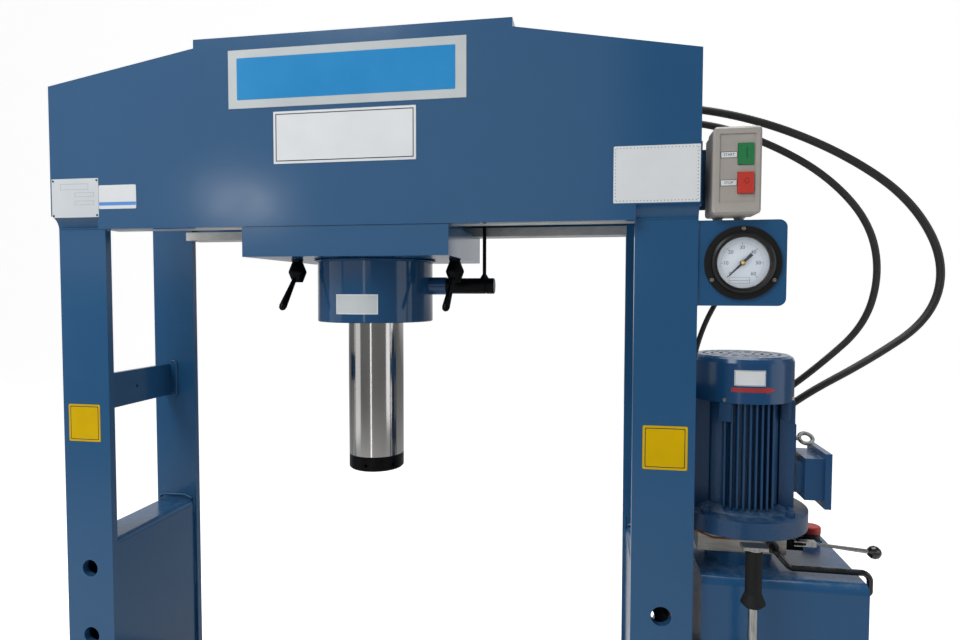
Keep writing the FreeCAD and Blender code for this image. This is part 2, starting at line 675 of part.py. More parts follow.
# ---------------------------------------------------------------- gauge plate and gauge
gy = -(front_face - 4)                         # front of the plate, just behind the front of the bar
gauge_sheet = 6
screw_circle = gauge_rad - 5
screw_turn = [math.radians(t) for t in (90, 210, 330)]
screw_at = [(gauge_x + screw_circle * math.cos(t), gauge_z + screw_circle * math.sin(t)) for t in screw_turn]
screw_rad = 2
gp_out, gp_half = gauge_x + gauge_rad + 9, gauge_rad + 11
gp = slab("gauge_plate_flat", "xz", gy, gy + gauge_sheet,
          [(frame_half, gauge_z - gp_half), (gp_out, gauge_z - gp_half), (gp_out, gauge_z + gp_half),
           (frame_half, gauge_z + gp_half)],
          [(gauge_x, gauge_z, gauge_rad - 15.5)] + [(x, z, screw_rad + 0.3) for x, z in screw_at])
node("gauge_plate", rounded("gauge_plate_round", gp, 14, edge_at(x=gp_out, y=gy + gauge_sheet / 2)))
stem_y = gy + 59
stem_aim = Vec(-17, -5, -36)
stem_out = 24
stem_aim.normalize()
flange_thick = 5
case_in = gauge_rad - 19
glass_rad = case_in - 0.2
node("gauge_case", join("gauge_case", [
    minus("gauge_case_shell", turned("gauge_case_solid", "y", gauge_x, gy, gauge_z, [
        (0, 38), (gauge_rad - 16, 38), (gauge_rad - 16, 0), (gauge_rad, 0), (gauge_rad, -flange_thick),
        (gauge_rad - 11, -flange_thick), (gauge_rad - 12, -12), (gauge_rad - 15.5, -14.5), (gauge_rad - 20, -13),
        (gauge_rad - 21, -10), (case_in, -10), (case_in, 35), (0, 35)]),
        [rod("gauge_screw_hole_%d" % k, "y", screw_rad + 0.3, gy - 6, gy + 1, x, z)
         for k, (x, z) in enumerate(screw_at)]),
    rod("gauge_stem", "y", 9, gy + 37, gy + 52, gauge_x, gauge_z),
    box("gauge_stem_block", gauge_x - 9, gauge_x + 9, gy + 50, gy + 68, gauge_z - 9, gauge_z + 9),
    aimed("gauge_nipple", 5.4, 5.4, stem_out, gauge_x, stem_y, gauge_z, stem_aim)]))
node("gauge_dial", turned("gauge_dial", "y", gauge_x, gy, gauge_z,
                          [(3, 3), (glass_rad, 3), (glass_rad, 4.5), (3, 4.5)]))
node("gauge_lens", turned("gauge_lens", "y", gauge_x, gy, gauge_z,
                          [(0, -10), (glass_rad, -10), (glass_rad, -8), (0, -8)]))
# needle at zero: it points down and to the left, its tail up and to the right
z_ang = math.radians(225)
ux, uz = math.cos(z_ang), math.sin(z_ang)


def needle_point(along, across):
    return (gauge_x + along * ux - across * uz, gauge_z + along * uz + across * ux)


needle_tip, needle_tail = gauge_rad.v - 28, -22
needle = slab("needle_blade", "xz", gy - 3, gy - 2, [
    needle_point(needle_tail, 3), needle_point(needle_tail, -3), needle_point(4, -2.2),
    needle_point(needle_tip - 6, -0.8), needle_point(needle_tip, 0), needle_point(needle_tip - 6, 0.8),
    needle_point(4, 2.2)])
node("gauge_needle", join("gauge_needle", [
    needle, rod("needle_hub", "y", 4.4, gy - 4.5, gy + 2.4, gauge_x, gauge_z),
    rod("needle_spindle", "y", 2.4, gy + 2, gy + 20, gauge_x, gauge_z)]))

# ---------------------------------------------------------------- starter
by = -depth_half + 2                           # front of the cover
bx1, bz1 = box_left + box_wide, box_low + box_high
cover_deep, base_deep, rim, shell_wall = 48, 45, 4, 3
cover_back, base_back = by + cover_deep, by + cover_deep + base_deep
cover = box("cover_block", box_left, bx1, by, cover_back, box_low, bz1)
cover = bevelled("cover_rim", cover, rim, edge_at(y=by))
cover = rounded("cover_soft", cover, 9, edge_at(y=by + (cover_deep + rim) / 2))
key_wide, key_high, key_gap = 26, 37, 0.6
key_x = box_left + box_wide / 2 + 14
green_z, red_z = box_low + 105.5, box_low + 55
windows = [box(n + "_window", key_x - key_wide / 2 - key_gap, key_x + key_wide / 2 + key_gap, by, by + 12,
               z - key_high / 2 - key_gap, z + key_high / 2 + key_gap)
           for n, z in (("green", green_z), ("red", red_z))]
node("starter_cover", minus("starter_cover", cover, [
    box("cover_hollow", box_left + shell_wall, bx1 - shell_wall, by + 10, cover_back + 1, box_low + shell_wall,
        bz1 - shell_wall),
    box("cover_recess", box_left + 11, bx1 - 11, by - 1, by + 2, box_low + 21, bz1 - 13)] + windows))


def key(name, z, proud):
    """Push-button: cap, neck, a lip that holds it behind the cover, and a stem."""
    def slice_of(label, half_x, half_z, y0, y1):
        return box(name + label, key_x - half_x, key_x + half_x, y0, y1, z - half_z, z + half_z)
    half_x, half_z = key_wide / 2, key_high / 2
    return join(name, [slice_of("_cap", half_x, half_z, by - proud, by + 9),
                       slice_of("_neck", half_x - 2, half_z - 2, by + 8, by + 12),
                       slice_of("_lip", half_x + 3, half_z + 3, by + 10.6, by + 13),
                       slice_of("_stem", 6, 6, by + 8, by + 30)])


node("starter_button_green", key("starter_button_green", green_z, 0.5))
node("starter_button_red", key("starter_button_red", red_z, 3))
base = box("base_block", box_left + shell_wall, bx1 - shell_wall, cover_back, base_back, box_low + shell_wall,
           bz1 - shell_wall)
base = rounded("base_soft", base, 6, edge_at(y=cover_back + base_deep / 2))
inset = 2 * shell_wall
base = minus("base_shell", base, [
    box("base_hollow", box_left + inset, bx1 - inset, cover_back - 1, base_back - 4, box_low + inset, bz1 - inset)])
# contact block behind the buttons, and two cable glands under the base
contacts = box("contact_block", key_x - 12, bx1 - 12, cover_back + 2, base_back - 3, box_low + 30, bz1 - 30)
glands = [turned("gland_%d" % k, "z", x, cover_back + base_deep / 2, box_low + shell_wall + 1, [
    (0, 0), (10, 0), (10, -4), (8.5, -4), (8.5, -6), (10.5, -7), (10.5, -15), (7.5, -18), (0, -18)])
    for k, x in enumerate((box_left + 22, bx1 - 22))]
node("starter_base", join("starter_base", [base, contacts] + glands))
strap = 5
node("starter_bracket", join("starter_bracket", [
    box("bracket_leg", frame_half, frame_half + strap, -front_face, base_back + strap, box_low + 20, bz1 - 20),
    box("bracket_back", frame_half, bx1 - 8, base_back, base_back + strap, box_low + 20, bz1 - 20)]))

# ---------------------------------------------------------------- tank
tx1, ty1, tz0 = tank_left + tank_long, tank_front + tank_deep, tank_top - tank_high
fill_x, fill_y = tx1 - 28, ty1 - 37
tank_block = box("tank_block", tank_left, tx1, tank_front, ty1, tz0, tank_top)
tank_block = rounded("tank_bend", tank_block, 16, edge_at(x=tank_left + tank_long / 2, z=tank_top))
neck = rod("tank_neck", "z", neck_rad, tank_top - 2, mz0, motor_x, 0)
collar = rod("filler_collar", "z", 21, tank_top - 2, tank_top + 4, fill_x, fill_y)
tank_solid = join("tank_solid", [tank_block, neck, collar])
w = tank_wall
node("oil_tank", minus("oil_tank", tank_solid, [
    box("tank_hollow", tank_left + w, tx1 - w, tank_front + w, ty1 - w, tz0 + w, tank_top - w),
    rod("tank_mouth", "z", 50, tank_top - 20, tank_top + 30, motor_x, 0),
    rod("filler_mouth", "z", 15, tank_top - 20, tank_top + 30, fill_x, fill_y)]))
br_t = 8
shelf_front, shelf_rear = tank_front + 14, ty1 - 14
gusset = [(frame_half + br_t / 2, tz0 - br_t / 2), (frame_half + br_t / 2, tz0 - 90), (frame_half + 24, tz0 - 90),
          (tx1 - 60, tz0 - 20), (tx1 - 60, tz0 - br_t / 2)]
node("tank_bracket", join("tank_bracket", [
    box("bracket_wall", frame_half, frame_half + br_t, -front_face, front_face, tz0 - 90, tz0 + 70),
    box("bracket_shelf", frame_half, tx1 - 30, shelf_front, shelf_rear, tz0 - br_t, tz0),
    slab("bracket_gusset_front", "xz", shelf_front, shelf_front + br_t, gusset),
    slab("bracket_gusset_rear", "xz", shelf_rear - br_t, shelf_rear, gusset)]))
node("filler_cap", turned("filler_cap", "z", fill_x, fill_y, tank_top + 4, [
    (0, -22), (12, -22), (12, -20), (14.6, -20), (14.6, 0.3), (17.6, 0.3), (17.6, 12), (18.5, 13), (18.5, 25),
    (16.5, 27), (0, 27)]))

# ---------------------------------------------------------------- valve block
mz1 = mz0 + 35
mx0, mx1, my = motor_x - 89, motor_x + 76, block_deep
fz0 = mz1 + 13                                 # underside of the motor flange
shaft_end = 12                                 # radius of the rotor's pump end
node("valve_block", minus("valve_block", join("valve_block_solid", [
    box("valve_block_body", mx0, mx1, -my, my, mz0, mz1),
    rod("valve_block_seat", "z", 84, mz1, fz0, motor_x, 0)]),
    [rod("valve_block_bore", "z", 17, mz0 - 1, fz0 + 1, motor_x, 0)]))
pump_low = tank_top - 130
node("pump_unit", minus("pump_unit", join("pump_solid", [
    rod("pump_body", "z", 38, pump_low + 20, mz0, motor_x, 0),
    hexagon("pump_cover", "z", 88, pump_low + 60, pump_low + 78, motor_x, 0),
    rod("suction_tube", "z", 9, pump_low - 40, pump_low + 22, motor_x - 18, 0),
    rod("suction_strainer", "z", 24, pump_low - 90, pump_low - 38, motor_x - 18, 0)]),
    [rod("pump_shaft_bore", "z", shaft_end + 0.4, mz0 - 34, mz0 + 1, motor_x, 0)]))
elbows = []
elbow_top = elbow_z + elbow_rise
for n, x, y in (("big", motor_x + 36, p_end[1]), ("small", motor_x - 24, q_end[1])):
    elbows.append(join("block_elbow_" + n, [
        rod("block_elbow_%s_arm" % n, "y", 8, my, y - 10, x, elbow_z),
        hexagon("block_elbow_%s_nut" % n, "y", 28, my + 4, my + 18, x, elbow_z),
        box("block_elbow_%s_block" % n, x - 11, x + 11, y - 11, y + 11, elbow_z - 11, elbow_z + 11),
        rod("block_elbow_%s_nipple" % n, "z", 10, elbow_z + 10, elbow_top, x, y),
        hexagon("block_elbow_%s_collar" % n, "z", 26, elbow_z + 14, elbow_top - 8, x, y)]))
node("block_elbows", group("block_elbows", elbows))

# ---------------------------------------------------------------- motor
fz1 = fz0 + 33
body_top = fz1 + 217
fin_low = fz1 + 12
fin_pitch, fin_thick, fin_side = 11.1, 3.4, 4  # fins stand side by side, fin_side of them on each hand
column_in, column_out, column_deep = motor_x + 66, motor_x + 94, 40
pad_far, pad_deep = motor_x + 98, 34
pad_low, pad_top = fz1 + 82, fz1 + 170
box_near = motor_x + 112                       # near side of the terminal box
cowl_wall = 2
cowl_turn = 241                                # the first cowl screw, seen from above
quarter = [Rot(Vec(0, 0, 1), cowl_turn + 90 * k) for k in range(4)]
mot = [rod("motor_flange", "z", flange_rad, fz0, fz1, motor_x, 0),
       cone("motor_bell", "z", 96, 78, fz1, fin_low, motor_x, 0),
       rod("motor_core", "z", 74, fz1, body_top, motor_x, 0)]
for k in range(-fin_side, fin_side + 1):
    dx = fin_pitch * k
    half = math.sqrt(fin_rad.v ** 2 - dx * dx)
    mot.append(box("fin_%d" % (k + fin_side), motor_x + dx - fin_thick / 2, motor_x + dx + fin_thick / 2,
                   -half, half, fin_low, body_top))
mot += [box("side_column_left", 2 * motor_x - column_out, 2 * motor_x - column_in, -column_deep, column_deep,
            fz1, body_top),
        box("side_column_right", column_in, column_out, -column_deep, column_deep, fz1, body_top),
        box("side_pad_right", column_out - 4, pad_far, -pad_deep, pad_deep, pad_low, pad_top),
        box("terminal_neck", column_out - 4, box_near, -32, 32, fz1 + 35, fz1 + 93)]
lug_deep, lug_wide = 14, 22
lug_r = cowl_rad - cowl_wall - lug_deep - 1.2  # the lugs end just inside the cowl
for k, rot in enumerate(quarter):
    corner = rot.multVec(Vec(0, -lug_wide / 2, 0))
    d = rot.multVec(Vec(1, 0, 0))
    lug = DOC.addObject("Part::Box", "cowl_lug_%d" % k)
    lug.Length, lug.Width, lug.Height = lug_deep, lug_wide, 48
    mot.append(at(lug, motor_x + lug_r * d.x + corner.x, lug_r * d.y + corner.y, body_top - 36, rot))
bolt_circle = flange_rad - 19
for k in range(4):
    t = math.radians(45 + 90 * k)
    bolt_x, bolt_y = motor_x + bolt_circle * math.cos(t), bolt_circle * math.sin(t)
    mot.append(hexagon("flange_bolt_%d" % k, "z", 19, fz1, fz1 + 10, bolt_x, bolt_y))
    mot.append(rod("flange_stud_%d" % k, "z", 5, fz1 + 9, fz1 + 17, bolt_x, bolt_y))
cowl_low, cowl_top = body_top, body_top + 88
screw_up = cowl_low + 6
cowl_screw_at = []
for rot in quarter:
    d = rot.multVec(Vec(1, 0, 0))
    cowl_screw_at.append((motor_x + cowl_rad * d.x, cowl_rad * d.y, d))
screw_bore = screw_rad + 0.3
screw_holes = [aimed("cowl_screw_bore_%d" % k, screw_bore, screw_bore, 14, x - 12 * d.x, y - 12 * d.y,
                     screw_up, d) for k, (x, y, d) in enumerate(cowl_screw_at)]
rotor_rad, shaft_rad = 47, 14
node("motor_housing", minus("motor_housing", join("motor_solid", mot), [
    rod("stator_bore", "z", rotor_rad + 1, fz1 - 12, body_top - 12, motor_x, 0),
    rod("shaft_bore", "z", shaft_rad + 0.4, fz0 - 1, body_top + 1, motor_x, 0)] + screw_holes))
cowl_outer = turned("cowl_outer", "z", motor_x, 0, 0, [
    (0, cowl_low), (cowl_rad, cowl_low), (cowl_rad, cowl_top - 11), (cowl_rad - 3, cowl_top - 4),
    (cowl_rad - 10, cowl_top), (0, cowl_top)])
cowl_in = cowl_rad - cowl_wall
cowl_cuts = [turned("cowl_inner", "z", motor_x, 0, 0, [
    (0, cowl_low - 1), (cowl_in, cowl_low - 1), (cowl_in, cowl_top - 12), (cowl_in - 3, cowl_top - 6),
    (cowl_in - 9, cowl_top - cowl_wall), (0, cowl_top - cowl_wall)])]
for k, (x, y, d) in enumerate(cowl_screw_at):
    cowl_cuts.append(aimed("cowl_screw_hole_%d" % k, screw_bore, screw_bore, 8, x - 5 * d.x, y - 5 * d.y,
                           screw_up, d))
# grille: rings of straight slots through the top of the cowl
slot_wide, slot_share = 6, 0.68
for ring_no, count in enumerate((8, 12, 16, 22)):
    r = 24 + 16 * ring_no
    for k in range(count):
        rot = Rot(Vec(0, 0, 1), 360.0 * k / count)
        long_half = math.pi * r / count * slot_share
        slot = DOC.addObject("Part::Box", "grille_%d_%d" % (ring_no, k))
        slot.Length, slot.Width, slot.Height = slot_wide, 2 * long_half, 8
        off = rot.multVec(Vec(r - slot_wide / 2, -long_half, 0))
        cowl_cuts.append(at(slot, motor_x + off.x, off.y, cowl_top - 6, rot))
node("motor_cowl", minus("motor_cowl", cowl_outer, cowl_cuts))
disc = cowl_low + 24                           # underside of the fan's disc
disc_rad = 70
fan = [turned("fan_hub", "z", motor_x, 0, 0, [
    (0, disc - 6), (24, disc - 6), (24, disc), (disc_rad, disc), (disc_rad, disc + 3), (24, disc + 3),
    (24, disc + 26), (0, disc + 26)]),
    rod("rotor_shaft", "z", shaft_rad, mz0 + 8, disc + 28, motor_x, 0),
    rod("rotor_pump_end", "z", shaft_end, mz0 - 30, mz0 + 9, motor_x, 0),
    rod("rotor_core", "z", rotor_rad, fz1 + 14, body_top - 40, motor_x, 0)]
blade_thick = 2.4
for k in range(8):
    blade = DOC.addObject("Part::Box", "fan_blade_%d" % k)
    blade.Length, blade.Width, blade.Height = disc_rad - 24, blade_thick, 24
    rot = Rot(Vec(0, 0, 1), 45.0 * k)
    off = rot.multVec(Vec(22, -blade_thick / 2, 0))
    fan.append(at(blade, motor_x + off.x, off.y, disc + 2, rot))
node("motor_rotor", join("motor_rotor", fan))
tb_z = fz1 + 65
cover_x = box_near + 34
node("terminal_box", join("terminal_box", [
    box("terminal_body", box_near, cover_x, -45, 45, tb_z - 41, tb_z + 41),
    box("terminal_cover", cover_x, cover_x + 12, -54, 54, tb_z - 55, tb_z + 53)]))
# lifting eye: an eight-sided section turned into a ring, on a collar screwed into the side pad
eye_z, eye_r, eye_wire = fz1 + 136, 12.5, 3.7
eye_out = 28
bend_k = eye_wire * math.tan(math.pi / 8)
eye = turned("eye_ring", "z", pad_far + eye_out, 0, eye_z, [
    (eye_r + a, b) for a, b in ((eye_wire, -bend_k), (eye_wire, bend_k), (bend_k, eye_wire), (-bend_k, eye_wire),
                                (-eye_wire, bend_k), (-eye_wire, -bend_k), (-bend_k, -eye_wire),
                                (bend_k, -eye_wire))])
eye.Placement = FreeCAD.Placement(eye.Placement.Base, Rot(Vec(1, 0, 0), 42))
node("motor_eyebolt", join("motor_eyebolt", [
    eye, rod("eye_collar", "x", 8.5, pad_far, pad_far + 8, 0, eye_z),
    rod("eye_neck", "x", 4.5, pad_far + 7, pad_far + eye_out - eye_r, 0, eye_z)]))


def pan_screw(name, x, y, z, direction, neck_z):
    """Pan-head screw: head seated at x, y, z and shank going back against the direction."""
    o = turned(name, "z", x, y, z, [(0, neck_z), (screw_rad, neck_z), (screw_rad, 0), (3.9, 0), (2.9, 2.8),
                                    (0, 2.8)])
    o.Placement = FreeCAD.Placement(o.Placement.Base, Rot(Vec(0, 0, 1), direction))
    return o


screws = [pan_screw("gauge_screw_%d" % k, x, gy - flange_thick, z, Vec(0, -1, 0), -13)
          for k, (x, z) in enumerate(screw_at)]
screws += [pan_screw("cowl_screw_%d" % k, x, y, screw_up, d, -9) for k, (x, y, d) in enumerate(cowl_screw_at)]

# ---------------------------------------------------------------- hand valve
vx0, vx1, vy0, vy1 = mx1, mx1 + 34, -52, -8
vz = mz0 + 29
pivot_x, pivot_y = mx1 + 18, -70
fork_in, fork_out, fork_half = 2.4, 4.8, 7
pivot_pin = 3
node("valve_body", join("valve_body", [
    box("valve_case", vx0, vx1, vy0, vy1, mz0 + 7, mz0 + 34),
    rod("valve_end", "x", 12, vx1 - 1, vx1 + 9, (vy0 + vy1) / 2, mz0 + 21),
    box("valve_lug", pivot_x - 7, pivot_x + 7, pivot_y - 10, vy0 + 1, vz - 2, vz + 2),
    rod("valve_pin", "z", pivot_pin, vz - 8, vz + 8, pivot_x, pivot_y)]))


def fork_part(name, x0, z0, z1):
    return box(name, pivot_x + x0, pivot_x + 32, pivot_y - fork_half, pivot_y + fork_half, vz + z0, vz + z1)


fork = [fork_part("fork_upper", -8, fork_in, fork_out), fork_part("fork_lower", -8, -fork_out, -fork_in),
        fork_part("fork_root", 13, -fork_out, fork_out)]
slope = Vec(105, 0, -9.5)
stick_long = slope.Length - 4
stick = aimed("valve_stick", 2.7, 4.4, stick_long, pivot_x + 30, pivot_y, vz, slope)
node("valve_lever", minus("valve_lever", join("valve_fork_solid", fork + [stick]), [
    rod("fork_bore", "z", pivot_pin + 0.3, vz - 12, vz + 12, pivot_x, pivot_y)]))
# ball knob, turned in six bands
ball_rad, bands = 12.6, 6
knob_profile = [(ball_rad * math.sin(math.pi * k / bands), -ball_rad * math.cos(math.pi * k / bands))
                for k in range(bands + 1)]
knob = turned("knob_ball", "x", pivot_x + 30 + slope.x, pivot_y, vz + slope.z, knob_profile)
node("valve_knob", minus("valve_knob", knob, [
    aimed("knob_hole", 2.8, 4.5, stick_long + 0.2, pivot_x + 30, pivot_y, vz, slope)]))

# ---------------------------------------------------------------- outlet pipe and copper gauge tube
ox, oz = motor_x.v + 48, mz0.v + 18
side, front = tx1.v, -my


def arced(points, rad, radii):
    """Rigid tube: straight runs with a given bend radius at each inner point."""
    p = [Vec(*c) for c in points]
    edges, last = [], p[0]
    for k, r in enumerate(radii, 1):
        u, w2 = p[k] - p[k - 1], p[k + 1] - p[k]
        turn = u.getAngle(w2)
        u.normalize()
        w2.normalize()
        leg = r * math.tan(turn / 2)
        a, b = p[k] - u * leg, p[k] + w2 * leg
        m = w2 - u
        m.normalize()
        mid = p[k] + m * (r / math.cos(turn / 2)) - m * r
        edges += [Part.LineSegment(last, a).toShape(), Part.Arc(a, mid, b).toShape()]
        last = b
    edges.append(Part.LineSegment(last, p[-1]).toShape())
    return tube(p[0], p[1] - p[0], Part.Wire(edges), rad)


pipe_y, pipe_turn_z, pipe_low_z = front - 32, mz0.v - 11, tank_top.v - 26
outlet = [(ox, front - 10, oz), (ox, pipe_y, oz), (ox + 26, pipe_y, pipe_turn_z), (side + 13, pipe_y, pipe_turn_z),
          (side + 13, pipe_y, pipe_low_z), (side, pipe_y, pipe_low_z)]
node("outlet_pipe", join("outlet_pipe", [
    code_shape("outlet_run", arced(outlet, 5.5, [11, 12, 15, 6])),
    rod("outlet_fitting", "y", 11, front - 13, front, ox, oz),
    hexagon("outlet_nut", "x", 19, side, side + 4, pipe_y, pipe_low_z)]))
union_x, union_y, union_z = frame_half.v - 9, -88, mz0.v + 62
tube_y, tube_z, tube_x = front - 10, mz0.v + 30, motor_x.v + 34
gauge_tube = [(union_x, union_y, union_z), (union_x + 5, union_y + 4, union_z - 16),
              (union_x + 28, tube_y, union_z - 20), (union_x + 58, tube_y, tube_z), (tube_x, tube_y, tube_z),
              (tube_x, front, tube_z)]
node("copper_tube", join("copper_tube", [
    code_shape("copper_run", arced(gauge_tube, 2, [8, 12, 12, 6])),
    hexagon("copper_union", "z", 15, union_z - 6, union_z + 18, union_x, union_y)]))
gh0 = (gauge_x.v + stem_out * stem_aim.x, stem_y.v + stem_out * stem_aim.y, gauge_z.v + stem_out * stem_aim.z)
gh1 = (gh0[0] + 40 * stem_aim.x, gh0[1] + 40 * stem_aim.y, gh0[2] + 40 * stem_aim.z)
gauge_route = [gh0, gh1, (682, -110, 1404), (664, -114, 1348), (654, -112, 1286), (650, -106, 1214),
               (652, -98, 1146), (651, -88, 1086), (union_x, union_y, union_z + 18)]
node("gauge_hose", code_shape("gauge_hose", route("gauge_hose", gauge_route, 4.8)))

# ---------------------------------------------------------------- hand pump
pump_half, cheek = 20, 6
px0, px1 = lever_x - pump_half, lever_x + pump_half
pz0 = tank_top - 236
hinge_z = pz0 - 50
pump_front = tank_front - 46
plunger_y = tank_front - 20
plunger_rad, hinge_pin = 9, 5
body = join("hand_pump_solid", [
    box("hand_pump_block", px0, px1, pump_front, tank_front, pz0, pz0 + 90),
    rod("hand_pump_cap", "z", 13, pz0 + 88, pz0 + 100, lever_x, plunger_y),
    box("hand_pump_cheek_l", px0, px0 + cheek, lever_y - 12, pump_front + 16, hinge_z - 13, pz0 + 20),
    box("hand_pump_cheek_r", px1 - cheek, px1, lever_y - 12, pump_front + 16, hinge_z - 13, pz0 + 20)])
node("hand_pump_body", join("hand_pump_body", [
    minus("hand_pump_bored", body, [
        rod("hand_pump_bore", "z", plunger_rad + 0.3, pz0 - 1, pz0 + 80, lever_x, plunger_y)]),
    rod("hand_pump_pin", "x", hinge_pin, px0 - 3, px1 + 3, lever_y, hinge_z)]))
yoke_slot = box("yoke_slot", lever_x - 14, lever_x + 14, plunger_y - 12, plunger_y + 8, hinge_z - 4.4,
                hinge_z + 4.4)
yoke = join("yoke_solid", [
    box("yoke_left", lever_x - 12, lever_x - 7, plunger_y - 15, plunger_y + 12, hinge_z - 9, hinge_z + 13),
    box("yoke_right", lever_x + 7, lever_x + 12, plunger_y - 15, plunger_y + 12, hinge_z - 9, hinge_z + 13),
    box("yoke_bridge", lever_x - 12, lever_x + 12, plunger_y - 15, plunger_y + 12, hinge_z + 12, hinge_z + 20),
    rod("plunger_stem", "z", plunger_rad, hinge_z + 19, pz0 + 50, lever_x, plunger_y)])
node("hand_pump_plunger", minus("hand_pump_plunger", yoke, [yoke_slot]))
tube_top = hinge_z + 368
tube_rad = 7.9
lever_solid = join("hand_lever_solid", [
    rod("lever_boss", "x", 12, lever_x - 13, lever_x + 13, lever_y, hinge_z),
    box("lever_heel", lever_x - 6, lever_x + 6, lever_y, plunger_y + 4, hinge_z - 5, hinge_z + 5),
    rod("lever_heel_pin", "x", 4, lever_x - 12.5, lever_x + 12.5, plunger_y, hinge_z),
    rod("lever_socket", "z", 12, hinge_z, hinge_z + 52, lever_x, lever_y),
    rod("lever_tube", "z", tube_rad, hinge_z + 50, tube_top + 2, lever_x, lever_y),
    box("lever_end_head", lever_x - 21, lever_x + 21, lever_y - 14, lever_y + 12, tube_top + 2, tube_top + 8),
    cone("lever_end_neck", "z", 13.8, 15, tube_top, tube_top + 3, lever_x, lever_y)])
node("hand_lever", minus("hand_lever", lever_solid, [
    rod("lever_pivot_bore", "x", hinge_pin + 0.3, lever_x - 14, lever_x + 14, lever_y, hinge_z)]))
grip_low = tube_top - 101
node("hand_grip", turned("hand_grip", "z", lever_x, lever_y, 0, [
    (tube_rad, grip_low), (15, grip_low), (21, grip_low + 6), (19, grip_low + 12), (14, grip_low + 24),
    (14, tube_top - 2), (13, tube_top), (tube_rad, tube_top)]))

node("panel_screws", group("panel_screws", screws))

# ---------------------------------------------------------------- check and write
DOC.recompute()
bad = 0
for o in DOC.Objects:
    if "Invalid" in o.State or "Error" in o.State:
        print("BAD STATE", o.Name, o.State)
        bad += 1
os.makedirs("parts", exist_ok=True)
for label in sorted(NODES):
    shape = NODES[label].Shape
    if shape.isNull() or not shape.isValid() or shape.Volume <= 0:
        print("BAD SHAPE", label, shape.isNull())
        bad += 1
        continue
    shape.exportStep("parts/%s.step" % label)
print("nodes", len(NODES), "bad", bad)
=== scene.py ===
import math

import bpy
import numpy as np
from mathutils import Matrix, Vector


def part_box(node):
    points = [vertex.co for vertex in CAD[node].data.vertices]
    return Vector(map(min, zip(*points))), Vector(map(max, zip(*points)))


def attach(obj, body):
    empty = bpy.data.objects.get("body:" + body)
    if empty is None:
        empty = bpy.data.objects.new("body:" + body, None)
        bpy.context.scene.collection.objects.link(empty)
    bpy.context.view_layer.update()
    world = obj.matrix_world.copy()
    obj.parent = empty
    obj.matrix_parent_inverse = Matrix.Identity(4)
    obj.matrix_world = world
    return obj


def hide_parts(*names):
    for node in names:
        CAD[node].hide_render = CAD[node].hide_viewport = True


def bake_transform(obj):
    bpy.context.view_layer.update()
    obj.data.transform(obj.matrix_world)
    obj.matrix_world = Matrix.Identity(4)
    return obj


# Workshop press: looks, hoses, plates and small fittings over the load-bearing model.
# +X runs to the operator's right, +Y to the back and +Z up. Meshes, patterns and lamps are in
# metres. Named sizes and places of pieces are in millimetres, and MM turns them into metres.

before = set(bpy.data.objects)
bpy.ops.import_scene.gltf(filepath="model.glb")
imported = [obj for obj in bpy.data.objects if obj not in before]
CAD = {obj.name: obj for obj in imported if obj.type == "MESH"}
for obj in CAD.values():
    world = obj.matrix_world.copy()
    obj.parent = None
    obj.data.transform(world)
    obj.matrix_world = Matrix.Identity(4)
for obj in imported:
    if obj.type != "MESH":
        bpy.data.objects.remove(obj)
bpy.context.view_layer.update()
MM = 0.001


def front_of(node):
    """y of a node's front face in millimetres: the lowest y of its box."""
    return round(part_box(node)[0].y / MM, 1)


# ------------------------------------------------------------------ colour and node helpers
def srgb(code):
    """Linear colour with alpha from six hexadecimal digits."""
    c = np.array([int(code[i:i + 2], 16) for i in (0, 2, 4)]) / 255.0
    c = np.where(c <= 0.04045, c / 12.92, ((c + 0.055) / 1.055) ** 2.4)
    return (*c.tolist(), 1.0)


class Net:
    """A node tree with short ways to add, set and link nodes."""

    def __init__(self, tree):
        self.tree = tree

    def add(self, kind, values=None, **props):
        """New node: props are its own settings, and values go to its inputs."""
        n = self.tree.nodes.new(kind)
        for key, val in props.items():
            setattr(n, key, val)
        for key, val in (values or {}).items():
            self.put(n, key, val)
        return n

    def put(self, n, key, val):
        """Links a socket to an input, or gives the input a plain value."""
        if isinstance(val, bpy.types.NodeSocket):
            self.tree.links.new(val, n.inputs[key])
        else:
            n.inputs[key].default_value = val

    def math(self, op, a, b=0.0):
        return self.add("ShaderNodeMath", {0: a, 1: b}, operation=op).outputs[0]

    def noise(self, vector, scale, detail=3.0, rough=0.55, stretch=None):
        if stretch:
            vector = self.add("ShaderNodeMapping", {"Vector": vector, "Scale": stretch}).outputs[0]
        return self.add("ShaderNodeTexNoise", {"Vector": vector, "Scale": scale, "Detail": detail,
                                               "Roughness": rough}).outputs["Fac"]

    def span(self, value, lo, hi, out_lo=0.0, out_hi=1.0):
        """value from lo to hi becomes out_lo to out_hi, and stays there outside."""
        return self.add("ShaderNodeMapRange", {"Value": value, "From Min": lo, "From Max": hi,
                                               "To Min": out_lo, "To Max": out_hi}, clamp=True).outputs[0]

    def blend(self, factor, a, b):
        return self.add("ShaderNodeMix", {0: factor, 6: a, 7: b}, data_type="RGBA").outputs[2]

    def bump(self, height, strength, distance):
        return self.add("ShaderNodeBump", {"Height": height, "Strength": strength,
                                           "Distance": distance}).outputs[0]

    def apart(self, vector):
        """The x, y and z of a vector."""
        return self.add("ShaderNodeSeparateXYZ", {0: vector}).outputs

    def place(self):
        return self.add("ShaderNodeTexCoord").outputs["Object"]


